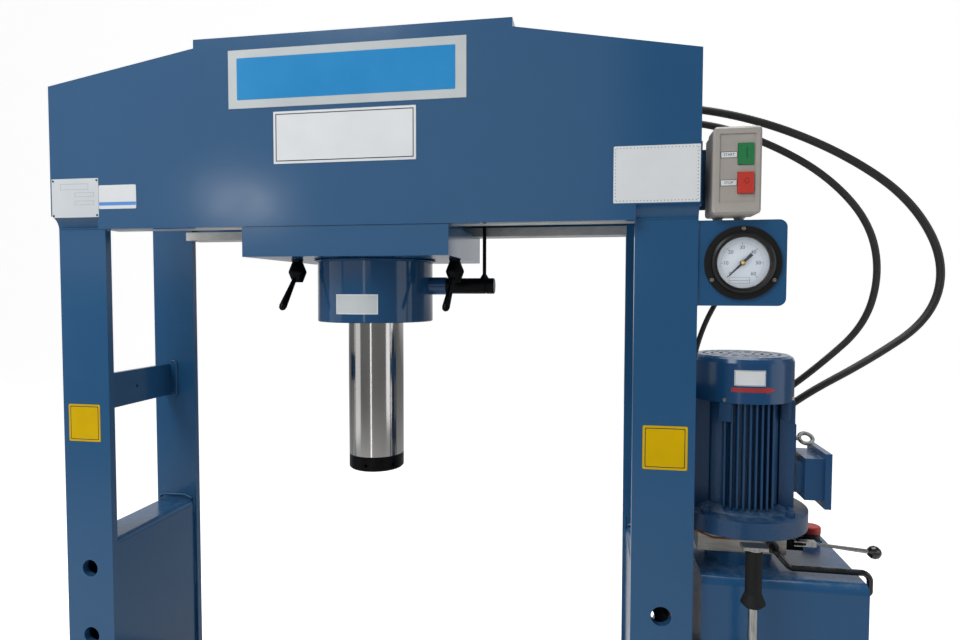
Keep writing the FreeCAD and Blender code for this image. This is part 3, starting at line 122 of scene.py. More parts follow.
def shader_group(name, inputs, outputs, fill):
    """Node group with named sockets; fill(net, inputs) returns the sockets that feed the outputs."""
    g = bpy.data.node_groups.new(name, "ShaderNodeTree")
    for label, kind, default in inputs:
        s = g.interface.new_socket(name=label, in_out="INPUT", socket_type=kind)
        s.default_value = default
    for label, kind in outputs:
        g.interface.new_socket(name=label, in_out="OUTPUT", socket_type=kind)
    net = Net(g)
    entry, leave = net.add("NodeGroupInput"), net.add("NodeGroupOutput")
    found = fill(net, entry.outputs)
    for label, _ in outputs:
        net.put(leave, label, found[label])
    return g


FLOAT, COLOUR = "NodeSocketFloat", "NodeSocketColor"
SKIN_OUTPUTS = [("Colour", COLOUR), ("Rough", FLOAT), ("Height", FLOAT)]


def film_nodes(net, put_in):
    """Sprayed enamel: slow drift of tone, orange peel in the height, and fine dust on upper faces."""
    pos = net.place()
    slow = net.noise(pos, 2.3, 2.0)
    mid = net.noise(pos, 19.0, 3.0)
    peel = net.noise(pos, 340.0, 2.0)
    drift = net.math("ADD", net.math("MULTIPLY", slow, 0.7), net.math("MULTIPLY", mid, 0.3))
    tone = net.math("MULTIPLY", net.math("SUBTRACT", drift, 0.5), put_in["Drift"])
    tinted = net.blend(net.span(tone, -0.5, 0.5), put_in["Deep"], put_in["Light"])
    up = net.apart(net.add("ShaderNodeNewGeometry").outputs["Normal"])[2]
    fleck = net.span(net.noise(pos, 60.0, 4.0), 0.42, 0.72)
    settled = net.math("MULTIPLY", net.span(up, 0.55, 0.95), fleck)
    dust = net.math("MULTIPLY", settled, put_in["Dust"])
    sheen = net.math("ADD", put_in["Sheen"], net.math("MULTIPLY", mid, 0.08))
    return {"Colour": net.blend(dust, tinted, srgb("8f959a")),
            "Rough": net.math("ADD", sheen, net.math("MULTIPLY", dust, 0.45)),
            "Height": net.math("MULTIPLY", peel, put_in["Peel"])}


FILM = shader_group("enamel_film", [
    ("Deep", COLOUR, srgb("1c3f63")), ("Light", COLOUR, srgb("2b557f")), ("Drift", FLOAT, 0.5),
    ("Sheen", FLOAT, 0.2), ("Peel", FLOAT, 0.3), ("Dust", FLOAT, 0.2)], SKIN_OUTPUTS, film_nodes)


def grain_nodes(net, put_in):
    """Worked metal: long fine marks along one axis with a slow stain under them."""
    pos = net.place()
    stretched = net.add("ShaderNodeVectorMath", {0: pos, 1: put_in["Along"]}, operation="MULTIPLY")
    lines = net.noise(stretched.outputs[0], put_in["Fineness"], 4.0, 0.5)
    stain = net.span(net.noise(pos, 14.0, 4.0), 0.45, 0.75)
    base = net.blend(net.span(lines, 0.3, 0.7), put_in["Dark"], put_in["Bright"])
    scratch = net.math("MULTIPLY", lines, 0.1)
    dull = net.math("MULTIPLY", stain, net.math("MULTIPLY", put_in["Stain"], 0.3))
    return {"Colour": net.blend(net.math("MULTIPLY", stain, put_in["Stain"]), base, put_in["Tarnish"]),
            "Rough": net.math("ADD", put_in["Polish"], net.math("ADD", scratch, dull)),
            "Height": lines}


GRAIN = shader_group("metal_grain", [
    ("Along", "NodeSocketVector", (1, 1, 1)), ("Fineness", FLOAT, 60.0),
    ("Dark", COLOUR, srgb("6f7173")), ("Bright", COLOUR, srgb("a9abad")),
    ("Tarnish", COLOUR, srgb("5d5147")), ("Stain", FLOAT, 0.2), ("Polish", FLOAT, 0.3)],
    SKIN_OUTPUTS, grain_nodes)


def moulded_nodes(net, put_in):
    """Moulded plastic or rubber: fine spark texture, slight cloudiness and rubbed lighter patches."""
    pos = net.place()
    fine = net.noise(pos, put_in["Texture"], 2.0)
    cloud = net.noise(pos, 9.0, 3.0)
    rub = net.span(net.noise(pos, 42.0, 4.0), 0.5, 0.8)
    body = net.blend(net.span(cloud, 0.3, 0.7), put_in["Deep"], put_in["Light"])
    return {"Colour": net.blend(net.math("MULTIPLY", rub, put_in["Rubbed"]), body, put_in["Scuff"]),
            "Rough": net.math("ADD", put_in["Matt"], net.math("MULTIPLY", fine, 0.12)),
            "Height": fine}


MOULDED = shader_group("moulded_skin", [
    ("Texture", FLOAT, 700.0), ("Deep", COLOUR, srgb("101112")), ("Light", COLOUR, srgb("191a1b")),
    ("Scuff", COLOUR, srgb("4a4a48")), ("Rubbed", FLOAT, 0.1), ("Matt", FLOAT, 0.35)],
    SKIN_OUTPUTS, moulded_nodes)


# ------------------------------------------------------------------ finishes
# full depth of the bump of paint, metal and plastic, in metres
SKIN_DEPTH = 0.0003


def blank_material(name):
    """New material with its node net and its Principled shader."""
    m = bpy.data.materials.new(name)
    m.use_nodes = True
    return m, Net(m.node_tree), m.node_tree.nodes["Principled BSDF"]


def set_plain(shader, **plain):
    """Plain values on the shader's own sockets; an underscore stands for a space in a name."""
    for key, val in plain.items():
        shader.inputs[key.replace("_", " ")].default_value = val


def finish_of(name, group, values, bump, **plain):
    """Material whose colour, roughness and bump come from a group. bump is the bump's strength."""
    m, net, shader = blank_material(name)
    skin = net.add("ShaderNodeGroup", values, node_tree=group)
    net.put(shader, "Base Color", skin.outputs["Colour"])
    net.put(shader, "Roughness", skin.outputs["Rough"])
    net.put(shader, "Normal", net.bump(skin.outputs["Height"], bump, SKIN_DEPTH))
    set_plain(shader, **plain)
    return m


def enamel(name, deep, light, sheen, peel=0.35, dust=0.15, coat=0.0):
    """Sprayed paint that drifts between two blues or blacks; sheen is its lowest roughness."""
    return finish_of(name, FILM, {"Deep": srgb(deep), "Light": srgb(light), "Drift": 0.6,
                                  "Sheen": sheen, "Peel": peel, "Dust": dust}, 0.05,
                     Coat_Weight=coat, Coat_Roughness=0.1, Specular_IOR_Level=0.38)


def metal(name, dark, bright, along, polish, stain, tarnish, fineness=60.0, bump=0.08):
    """Bare or blackened metal whose marks are stretched by along and whose polish is its lowest
    roughness."""
    return finish_of(name, GRAIN, {"Dark": srgb(dark), "Bright": srgb(bright), "Along": along,
                                   "Polish": polish, "Stain": stain, "Tarnish": srgb(tarnish),
                                   "Fineness": fineness}, bump, Metallic=1.0)


def moulded(name, deep, light, matt, rubbed, scuff, texture, bump=0.12, **plain):
    """Plastic, rubber or foil with scuffs of another colour; matt is its lowest roughness."""
    return finish_of(name, MOULDED, {"Deep": srgb(deep), "Light": srgb(light), "Matt": matt,
                                     "Rubbed": rubbed, "Scuff": srgb(scuff), "Texture": texture},
                     bump, **plain)


def ink(name, deep, light, matt=0.5):
    """Printed colour: a moulded skin whose scuffs have the print's own colour."""
    return moulded(name, deep, light, matt, 0.0, deep, 300.0, 0.02)


BLUE = enamel("frame_blue", "1e4b73", "295982", 0.12)
BLUE_BARREL = enamel("barrel_blue", "1a4267", "234d74", 0.06, peel=0.2)
BLUE_SHEET = enamel("tank_blue", "1b476f", "25537d", 0.14, dust=0.2)
BLUE_COWL = enamel("cowl_blue", "164067", "1f4b76", 0.16, dust=0.4)
BLACK_PAINT = enamel("black_paint", "0e0f10", "161718", 0.22, dust=0.2, coat=0.35)
BARE_RAIL = metal("rail_steel", "c4c4c0", "dddcd6", (0.6, 14, 14), 0.4, 0.4, "8b867c", bump=0.12)
RAM_CHROME = metal("ram_chrome", "b4b3b2", "c6c4c1", (1, 1, 0.05), 0.07, 0.03, "9a9896", 12.0, 0.0)
GROUND_STEEL = metal("block_steel", "9a9891", "bab7af", (0.8, 10, 10), 0.33, 0.3, "7d786e", 45.0)
BRIGHT_STEEL = metal("bright_steel", "8f8f8d", "bdbdba", (5, 5, 0.5), 0.26, 0.2, "6e6a63", 80.0)
ZINC = metal("zinc_screw", "b9b2a2", "ddd7c8", (4, 4, 4), 0.28, 0.2, "6f6346", 120.0)
GALVANISED = metal("galvanised", "77787a", "9fa1a2", (3, 3, 3), 0.38, 0.35, "585552", bump=0.2)
BLACK_OXIDE = metal("black_oxide", "101112", "1d1e20", (6, 6, 6), 0.34, 0.25, "2c2825", bump=0.15)
PIN_STEEL = metal("pin_steel", "6b6c6d", "8b8c8c", (8, 0.8, 8), 0.36, 0.3, "4c453e")
COPPER = metal("copper", "a5603a", "c8805a", (4, 4, 4), 0.3, 0.35, "6d4029")
BRASS = metal("brass", "a98a3c", "cfb05a", (4, 4, 4), 0.28, 0.2, "7a6229", 90.0)
GREY_CASE = moulded("starter_grey", "9d9892", "a8a39d", 0.42, 0.1, "8a8680", 520.0)
GREEN_KEY = moulded("key_green", "1c7340", "217c46", 0.35, 0.03, "3f8f5e", 300.0, 0.02)
GREEN_MARK = moulded("key_green_mark", "12552b", "16602f", 0.35, 0.0, "12552b", 300.0, 0.03)
RED_KEY = moulded("key_red", "bb3327", "c43b2e", 0.35, 0.03, "cc6257", 300.0, 0.02)
RED_MARK = moulded("key_red_mark", "8e1f18", "9a241c", 0.35, 0.0, "8e1f18", 300.0, 0.03)
PHENOLIC = moulded("ball_black", "0b0b0c", "121213", 0.12, 0.02, "2a2a2a", 300.0, 0.02,
                   Coat_Weight=0.5)
GRIP_RUBBER = moulded("grip_rubber", "0e0f10", "151616", 0.6, 0.1, "2a2a2a", 900.0, 0.2,
                      Specular_IOR_Level=0.25)
CASE_BLACK = moulded("gauge_black", "0e0e0f", "141414", 0.3, 0.04, "2b2b2b", 800.0, 0.1,
                     Specular_IOR_Level=0.35)
DIAL_WHITE = ink("dial_white", "bcc5cf", "c6ced7")
PRINT_DARK = ink("print_dark", "1c1d22", "26272c")
PRINT_BROWN = ink("print_brown", "2b211f", "352a27", 0.45)
PRINT_GREY = ink("print_grey", "868b8f", "8f9498", 0.45)
NEEDLE_INK = ink("needle_ink", "20262c", "2a3138", 0.4)
WHITE_PLATE = moulded("plate_white", "d3d7da", "dcdfe1", 0.42, 0.05, "c0c4c7", 200.0, 0.02)
SILVER_PLATE = moulded("plate_silver", "b8bec0", "c1c7c8", 0.45, 0.05, "a5b0b8", 260.0, 0.02,
                       Specular_IOR_Level=0.25)
BAND_BLUE = moulded("band_blue", "2684c0", "308bc5", 0.5, 0.02, "5aa0cc", 260.0, 0.02,
                    Specular_IOR_Level=0.1)
STICKER_BLUE = moulded("sticker_blue", "4a86cc", "5590d2", 0.42, 0.02, "7ba9dc", 260.0, 0.02)
YELLOW_PLATE = moulded("plate_yellow", "caa400", "d4af00", 0.5, 0.02, "c2a010", 260.0, 0.02,
                       Specular_IOR_Level=0.08)
RED_PRINT = moulded("print_red", "942226", "9f292b", 0.4, 0.04, "a84a48", 260.0, 0.02)
ALU_PLATE = moulded("alu_plate", "c4cacf", "ced3d7", 0.36, 0.06, "b2b8bd", 260.0, 0.02)


def cast_blue():
    """Sand-cast motor housing under blue paint: coarse pits and soft lumps, and painted shade that
    darkens the hollows.
    """
    m, net, shader = blank_material("cast_blue")
    skin = net.add("ShaderNodeGroup", {"Deep": srgb("143b60"), "Light": srgb("1f4c76"), "Drift": 0.9,
                                       "Sheen": 0.26, "Peel": 1.0, "Dust": 0.35}, node_tree=FILM)
    pos = net.place()
    lumps = net.noise(pos, 150.0, 4.0, 0.6)
    pits = net.span(net.noise(pos, 420.0, 2.0, 0.5), 0.3, 0.55)
    height = net.math("ADD", lumps, net.math("MULTIPLY", pits, 0.5))
    # painted shade: the low pits are blended towards a darker blue
    pit_shade = net.span(pits, 0.0, 1.0, 0.35, 0.0)
    net.put(shader, "Base Color", net.blend(pit_shade, skin.outputs["Colour"], srgb("12283d")))
    net.put(shader, "Roughness", net.math("ADD", skin.outputs["Rough"], 0.04))
    net.put(shader, "Normal", net.bump(height, 0.55, 0.0009))
    set_plain(shader, Specular_IOR_Level=0.35, Coat_Weight=0.2, Coat_Roughness=0.2)
    return m


def hose_rubber():
    """Wrapped rubber cover with dull dusty streaks. Its cloth-wrap marks wind round the hose: the sine
    of 24 turns for each unit of the map along the hose and one for each unit round it."""
    m, net, shader = blank_material("hose_rubber")
    uv = net.add("ShaderNodeTexCoord").outputs["UV"]
    parts = net.apart(uv)
    turn = net.math("ADD", net.math("MULTIPLY", parts[0], 24.0), parts[1])
    wave = net.math("SINE", net.math("MULTIPLY", turn, 2 * math.pi))
    fine = net.noise(uv, 30.0, 3.0, 0.6, (6.0, 60.0, 1.0))
    haze = net.math("MULTIPLY", net.span(net.noise(net.place(), 11.0, 4.0), 0.45, 0.8), 0.35)
    net.put(shader, "Base Color", net.blend(haze, srgb("161515"), srgb("33302e")))
    net.put(shader, "Roughness", net.span(fine, 0.2, 0.8, 0.38, 0.55))
    height = net.math("ADD", net.math("MULTIPLY", wave, 0.25), fine)
    net.put(shader, "Normal", net.bump(height, 0.25, 0.0004))
    return m


def window_glass():
    """Clear flat pane."""
    m, net, shader = blank_material("gauge_glass")
    net.put(shader, "Roughness", net.span(net.noise(net.place(), 60.0), 0.3, 0.7, 0.0, 0.02))
    set_plain(shader, Transmission_Weight=1.0, IOR=1.2, Base_Color=(1, 1, 1, 1))
    return m


CAP_RED_HIGH = 13.5


def filler_cap_finish():
    """Red top over a black skirt: the colour changes at one height, CAP_RED_HIGH under the top."""
    m = moulded("cap_red", "b5302a", "c43b31", 0.35, 0.06, "cf6a60", 300.0)
    net = Net(m.node_tree)
    shader = m.node_tree.nodes["Principled BSDF"]
    pos = net.place()
    waver = net.math("MULTIPLY", net.noise(pos, 120.0), 0.0004)
    edge = net.math("ADD", net.apart(pos)[2], waver)
    above = net.math("GREATER_THAN", edge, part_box("filler_cap")[1].z - CAP_RED_HIGH * MM)
    red = shader.inputs["Base Color"].links[0].from_socket
    net.put(shader, "Base Color", net.blend(above, srgb("151414"), red))
    return m


CAST = cast_blue()
CAP = filler_cap_finish()
HOSE = hose_rubber()
GLASS = window_glass()

FINISH = {
    BLUE: ["upright_front_left", "upright_front_right", "upright_rear_left", "upright_rear_right",
           "head_front_plate", "head_rear_plate", "head_top_plate", "side_braces",
           "side_panel_left", "side_panel_right", "feet", "bed", "carriage_plate",
           "carriage_hangers", "gauge_plate", "starter_bracket", "tank_bracket"],
    BLUE_BARREL: ["cylinder_barrel", "cylinder_end_cap"],
    BLUE_SHEET: ["oil_tank"],
    BLUE_COWL: ["motor_cowl", "terminal_box"],
    CAST: ["motor_housing"],
    BARE_RAIL: ["head_rails"],
    PIN_STEEL: ["bed_pins"],
    RAM_CHROME: ["ram"],
    BLACK_OXIDE: ["ram_head", "clamp_lever_left", "clamp_lever_right", "side_coupling",
                  "riser_pipe", "cap_elbow", "valve_body", "block_elbows"],
    BRIGHT_STEEL: ["cylinder_gland", "valve_lever", "hand_lever", "hand_pump_plunger",
                   "motor_rotor", "pump_unit"],
    GROUND_STEEL: ["valve_block"],
    BLACK_PAINT: ["outlet_pipe", "hand_pump_body"],
    GALVANISED: ["motor_eyebolt"],
    ZINC: ["panel_screws"],
    COPPER: ["copper_tube"],
    GREY_CASE: ["starter_cover", "starter_base"],
    GREEN_KEY: ["starter_button_green"],
    RED_KEY: ["starter_button_red"],
    CAP: ["filler_cap"],
    PHENOLIC: ["valve_knob"],
    GRIP_RUBBER: ["hand_grip"],
    CASE_BLACK: ["gauge_case"],
    DIAL_WHITE: ["gauge_dial"],
    NEEDLE_INK: ["gauge_needle"],
    GLASS: ["gauge_lens"],
    HOSE: ["hose_pressure", "hose_return", "gauge_hose"],
}
for finish, members in FINISH.items():
    for member in members:
        obj = CAD[member]
        if not obj.material_slots:
            obj.data.materials.append(finish)
        for holder in obj.material_slots:
            holder.material = finish


# ------------------------------------------------------------------ surface makers
def unit(a):
    """Each vector divided by its length."""
    a = np.asarray(a, float)
    return a / np.linalg.norm(a, axis=-1, keepdims=True)


def show(name, data):
    """New object of the scene, at the origin."""
    obj = bpy.data.objects.new(name, data)
    bpy.context.scene.collection.objects.link(obj)
    return obj


def points_of(mesh):
    """A mesh's points, one row each."""
    co = np.zeros(len(mesh.vertices) * 3)
    mesh.vertices.foreach_get("co", co)
    return co.reshape(-1, 3)


def piece(name, verts, faces, body, finishes, uv=None, smooth=True, marks=None):
    """Mesh object at the origin, on a body of the press. marks picks a finish for each face."""
    mesh = bpy.data.meshes.new(name)
    mesh.from_pydata(np.asarray(verts, float).reshape(-1, 3).tolist(), [], [list(f) for f in faces])
    if uv is not None:
        layer = mesh.uv_layers.new(name="along")
        index = np.zeros(len(mesh.loops), np.int32)
        mesh.loops.foreach_get("vertex_index", index)
        layer.data.foreach_set("uv", np.asarray(uv, float).reshape(-1, 2)[index].ravel())
    for f in finishes:
        mesh.materials.append(f)
    mesh.polygons.foreach_set("use_smooth", np.full(len(mesh.polygons), smooth))
    if marks is not None:
        mesh.polygons.foreach_set("material_index", np.asarray(marks, np.int32))
    mesh.update()
    obj = show(name, mesh)
    if body:
        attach(obj, body)
    return obj


def grid_faces(rows, cols, wrap_cols=True):
    """Quads of a grid of rows by cols points, numbered row by row."""
    across = np.arange(cols if wrap_cols else cols - 1)
    r, c = np.meshgrid(np.arange(rows - 1), across, indexing="ij")
    nxt = (c + 1) % cols
    quads = np.stack([r * cols + c, r * cols + nxt, (r + 1) * cols + nxt, (r + 1) * cols + c], -1)
    return quads.reshape(-1, 4)


def closed_ends(rows, cols):
    """The two end faces of a tube-like grid."""
    start = np.arange(cols)[::-1]
    end = (rows - 1) * cols + np.arange(cols)
    return [start.tolist(), end.tolist()]


def joined(name, parts, finish, body="frame", smooth=False):
    """One piece from several closed (points, faces, end faces)."""
    verts, faces, first = [], [], 0
    for pts, quads, ends in parts:
        flat = np.asarray(pts, float).reshape(-1, 3)
        verts.append(flat)
        faces += (np.asarray(quads) + first).tolist() + [[i + first for i in e] for e in ends]
        first += len(flat)
    return piece(name, np.concatenate(verts), faces, body, [finish], smooth=smooth)


def turned_solid(profile, origin, axis, sides):
    """Points radius*(cos t, sin t) about an axis at each height of a (radius, height) profile, all in
    millimetres, with flat ends."""
    w = unit(axis)
    u = unit(np.cross(w, [0, 1, 0] if abs(w[1]) < 0.9 else [1, 0, 0]))
    v = np.cross(w, u)
    prof = np.asarray(profile, float) * MM
    t = np.arange(sides) * 2 * math.pi / sides
    circle = np.cos(t)[:, None] * u + np.sin(t)[:, None] * v
    pts = np.asarray(origin, float) * MM + prof[:, 0, None, None] * circle[None]
    pts = pts + prof[:, 1, None, None] * w
    return pts, grid_faces(len(prof), sides), closed_ends(len(prof), sides)


# length of hose or bead for one unit of its map, in metres
WRAP_PITCH = 0.02


def swept(path, radius, sides=20, side_ref=(0, 1, 0)):
    """Tube about a line: at each point the ring radius*(cos t*n + sin t*b), n square to the line and to
    side_ref. Its map runs one unit for each WRAP_PITCH of length and one unit round."""
    path = np.asarray(path, float)
    ahead = unit(np.gradient(path, axis=0))
    n = unit(np.cross(ahead, side_ref))
    b = np.cross(ahead, n)
    t = -np.arange(sides) * 2 * math.pi / sides
    rad = np.broadcast_to(np.asarray(radius, float), (len(path),))
    pts = path[:, None] + rad[:, None, None] * (np.cos(t)[None, :, None] * n[:, None]
                                                + np.sin(t)[None, :, None] * b[:, None])
    run = np.concatenate([[0], np.cumsum(np.linalg.norm(np.diff(path, axis=0), axis=1))])
    uv = np.stack(np.broadcast_arrays(run[:, None] / WRAP_PITCH, (np.arange(sides) / sides)[None]), -1)
    return pts, grid_faces(len(path), sides), uv


def smooth_line(name, points):
    """Points along a curve of order 3 whose control points are the hose's route."""
    data = bpy.data.curves.new(name, "CURVE")
    data.dimensions = "3D"
    data.resolution_u = 14
    spline = data.splines.new("NURBS")
    spline.points.add(len(points) - 1)
    control = np.hstack([np.asarray(points, float) * MM, np.ones((len(points), 1))])
    spline.points.foreach_set("co", control.ravel())
    spline.order_u = 3
    spline.use_endpoint_u = True
    holder = show(name, data)
    bpy.context.view_layer.update()
    line = bpy.data.meshes.new_from_object(holder)
    co = points_of(line)
    bpy.data.objects.remove(holder)
    bpy.data.curves.remove(data)
    bpy.data.meshes.remove(line)
    return co


def rounded_outline(x0, x1, z0, z1, corner):
    """Rectangle with round corners: quarter circles of six points about the four inner corner
    points, anticlockwise."""
    a = np.linspace(0, math.pi / 2, 6)
    parts = []
    for k, (cx, cz) in enumerate(((x1 - corner, z1 - corner), (x0 + corner, z1 - corner),
                                  (x0 + corner, z0 + corner), (x1 - corner, z0 + corner))):
        parts.append(np.stack([cx + corner * np.cos(a + k * math.pi / 2),
                               cz + corner * np.sin(a + k * math.pi / 2)], -1))
    return np.concatenate(parts)


def inset(outline, by):
    """The outline moved inwards by a distance, each point towards the middle on both axes."""
    lo, hi = outline.min(0), outline.max(0)
    mid, half = (lo + hi) / 2, (hi - lo) / 2
    return mid + (outline - mid) * ((half - by) / half)


def on_front(xz, y):
    """Points of the front face: x, z kept and y given."""
    return np.stack([xz[..., 0], np.full(xz.shape[:-1], y), xz[..., 1]], -1)


# width of the slanted edge of a plate
RIM = 0.15


def plate(name, x0, x1, z0, z1, face, thick, corner, finishes, borders=()):
    """Label plate: rings of the outline, from the back edge round the rim to the middle, at
    y = face - height. borders are the insets, in rising order, where the next finish starts."""
    outline = rounded_outline(x0, x1, z0, z1, corner)
    front = face - thick
    insets = [RIM, *borders]
    middle = min(x1 - x0, z1 - z0) / 2
    insets += np.linspace(insets[-1], middle, 5)[1:-1].tolist()
    rings = [on_front(outline, face), on_front(outline, front + RIM * 0.6)]
    rings += [on_front(inset(outline, s), front) for s in insets]
    pts = np.stack(rings) * MM
    rows, cols = pts.shape[:2]
    faces = grid_faces(rows, cols)[:, ::-1].tolist()
    faces += [end[::-1] for end in closed_ends(rows, cols)]
    marks = np.zeros(len(faces), int)
    rings_before_first_border = 3
    for k in range(len(borders)):
        marks[(rings_before_first_border + k) * cols:] = k + 1
    back_face = -2
    marks[back_face] = 0
    piece(name, pts, faces, "frame", finishes, smooth=False, marks=marks)


def prism(outline, origin, u, v, depth):
    """Flat outline (n, 2) in the plane of u and v, pushed out by depth along u x v, in metres."""
    flat = np.asarray(outline, float)
    base = np.asarray(origin, float) + flat[:, :1] * np.asarray(u, float)
    base = base + flat[:, 1:] * np.asarray(v, float)
    pts = np.stack([base, base + unit(np.cross(u, v)) * depth])
    return pts, grid_faces(2, len(flat)), closed_ends(2, len(flat))


# how far printed and raised marks stand out
INK_HIGH, MARK_HIGH = 0.1, 0.2


def printed(outline, face, high=INK_HIGH):
    """Flat outline of x and z on a front face, raised from y = face by its height."""
    return prism(np.asarray(outline, float) * MM, (0, face * MM, 0), (1, 0, 0), (0, 0, 1), high * MM)


# a capital's height over the font's size, and half the letters' thickness
LETTER_SHARE, LETTER_HALF_DEEP = 0.7, 0.06


def lettering(name, text, height, centre):
    """Plain numerals or switch words, upright on a front face: the flat text mesh is given its place
    by arrays, its x to x, its y to z and its depth to the front."""
    data = bpy.data.curves.new(name, "FONT")
    data.body = text
    data.size = height / LETTER_SHARE * MM
    data.extrude = LETTER_HALF_DEEP * MM
    data.resolution_u = 3
    data.align_x, data.align_y = "CENTER", "CENTER"
    holder = show(name + "_text", data)
    bpy.context.view_layer.update()
    mesh = bpy.data.meshes.new_from_object(holder)
    bpy.data.objects.remove(holder)
    co = points_of(mesh)
    x, y, z = np.asarray(centre) * MM
    placed = np.stack([x + co[:, 0], y - co[:, 2], z + co[:, 1]], -1)
    mesh.vertices.foreach_set("co", placed.ravel())
    mesh.materials.clear()
    mesh.materials.append(PRINT_DARK)
    mesh.update()
    obj = show(name, mesh)
    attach(obj, "frame")


# ------------------------------------------------------------------ hoses
PRESSURE_ROUTE = [(78.5, 40, 1848), (258, 40, 1848), (458, 32, 1856), (648, 24, 1846),
                  (808, 27, 1810), (970, 38, 1740), (1104, 57, 1648), (1180, 78, 1524),
                  (1164, 94, 1406), (1056, 116, 1315), (930, 136, 1232), (838, 150, 1146),
                  (808, 157, 1062), (808, 157, 1002)]
RETURN_ROUTE = [(276.5, 0, 1812), (414, 0, 1812), (556, -3, 1813), (700, -7, 1801),
                (824, -1, 1754), (934, 14, 1690), (1019, 36, 1602), (1050, 58, 1500),
                (1036, 88, 1392), (962, 115, 1306), (870, 138, 1220), (788, 148, 1136),
                (748, 154, 1062), (748, 154, 1002)]
GAUGE_ROUTE = [(726.8, -98, 1491), (709.9, -103, 1455.1), (682, -110, 1404), (664, -114, 1348),
               (654, -112, 1286), (650, -106, 1214), (652, -98, 1146), (651, -88, 1086),
               (651, -88, 1030)]
PRESSURE_RAD, RETURN_RAD, GAUGE_RAD = 7.8, 6.9, 4.8


def hose(name, route, radius, node, body=None):
    """Round hose on its route's smooth curve, with flat ends inside the fittings."""
    line = smooth_line(name + "_line", route)
    pts, quads, uv = swept(line, radius * MM)
    faces = quads.tolist() + closed_ends(*pts.shape[:2])
    obj = piece(name, pts, faces, body, [HOSE], uv)
    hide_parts(node)
    return obj


pressure = hose("pressure_hose", PRESSURE_ROUTE, PRESSURE_RAD, "hose_pressure")
back_hose = hose("return_hose", RETURN_ROUTE, RETURN_RAD, "hose_return")
hose("gauge_line", GAUGE_ROUTE, GAUGE_RAD, "gauge_hose", "frame")
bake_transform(pressure)
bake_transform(back_hose)


def ferrule(tip, towards, hose_rad, length):
    """Crimped sleeve on a hose end: its radius swells by |sin| of the length into nine pressed
    rings."""
    rings, wall, lip, swell, sides = 9, 1.9, 0.4, 0.06, 36
    s = np.linspace(0, 1, rings * 6)
    r = (hose_rad + wall) * (1.0 + swell * np.abs(np.sin(s * rings * math.pi)))
    r[[0, -1]] = hose_rad + lip
    return turned_solid(np.stack([r, s * length], -1), tip, towards, sides)


def hose_ferrules():
    """Ferrules at both ends of the two long hoses: each stands 1 mm along its hose."""
    for tag, body, end, towards in (("carriage", "carriage", 0, (1, 0, 0)),
                                    ("tank", "frame", -1, (0, 0, 1))):
        sleeves = [ferrule(np.array(PRESSURE_ROUTE[end]) + towards, towards, PRESSURE_RAD, 42),
                   ferrule(np.array(RETURN_ROUTE[end]) + towards, towards, RETURN_RAD, 36)]
        joined("hose_ferrules_" + tag, sleeves, BLACK_OXIDE, body, smooth=True)


hose_ferrules()

# ------------------------------------------------------------------ label places, bare or generic
# faces that carry plates, and the thickness of a metal plate and of a sticker
HEAD_FACE, BAR_FACE = front_of("head_front_plate"), front_of("upright_front_left")
METAL_PLATE, STICKER = 0.8, 0.5


def head_plates():
    """Plates on the head: a wide one with one plain band, a framed one, a small one with a stripe, a
    riveted one and a dotted one."""
    plate("head_plate_wide", -246.5, 237, 1823.5, 1938, HEAD_FACE, METAL_PLATE, 1.0, [SILVER_PLATE])
    band = printed(rounded_outline(-228, 216, 1840, 1922, 2.0), HEAD_FACE - METAL_PLATE, MARK_HIGH)
    joined("head_plate_band", [band], BAND_BLUE)
    plate("head_plate_middle", -151, 139.6, 1712, 1814, HEAD_FACE, METAL_PLATE, 1.0,
          [WHITE_PLATE, PRINT_BROWN, WHITE_PLATE], borders=(4.5, 6.5))
    plate("head_plate_small", -544.6, -457.5, 1631.4, 1680.6, HEAD_FACE, STICKER, 3.0, [WHITE_PLATE])
    stripe = printed(rounded_outline(-544, -458.1, 1638.5, 1645.5, 0.5), HEAD_FACE - STICKER)
    joined("small_plate_band", [stripe], STICKER_BLUE)
    plate("head_plate_riveted", -656.5, -545, 1615, 1696, HEAD_FACE, METAL_PLATE, 1.5, [ALU_PLATE])
    plate("head_plate_right", 508, 658.8, 1620.3, 1722, HEAD_FACE, STICKER, 1.5, [WHITE_PLATE])


def bar_plates():
    """Yellow plates with a dark frame on the two front uprights."""
    yellow = [YELLOW_PLATE, PRINT_DARK, YELLOW_PLATE]
    frame_line = (4.0, 5.6)
    plate("bar_plate_left", -647, -570.5, 1134.7, 1215.5, BAR_FACE, STICKER, 3.0, yellow, frame_line)
    plate("bar_plate_right", 566.5, 646.8, 1132, 1213.5, BAR_FACE, STICKER, 3.0, yellow, frame_line)


def dotted_edge():
    """Row of small dots round the right-hand plate: circles of eight points, a fixed pitch apart."""
    pitch, dot_rad = 6.0, 0.8
    left, right, low, high = 511.5, 655, 1624, 1718
    xs = np.arange(514, right, pitch)
    zs = np.arange(1626, high, pitch)
    spots = [(x, z) for x in xs for z in (low, high)] + [(x, z) for z in zs for x in (left, right)]
    t = np.arange(8) * math.pi / 4
    dot = dot_rad * np.stack([np.cos(t), np.sin(t)], -1)
    joined("head_plate_dots", [printed(dot + spot, HEAD_FACE - STICKER) for spot in spots], PRINT_DARK)


def empty_fields(name, boxes, line, face, colour):
    """Empty printed fields: each is four thin bars round a rectangle."""
    bars = []
    for x0, x1, z0, z1 in boxes:
        for a, b, c, d in ((x0, x1, z0, z0 + line), (x0, x1, z1 - line, z1),
                           (x0, x0 + line, z0 + line, z1 - line),
                           (x1 - line, x1, z0 + line, z1 - line)):
            bars.append(printed([(a, c), (b, c), (b, d), (a, d)], face))
    joined(name, bars, colour)


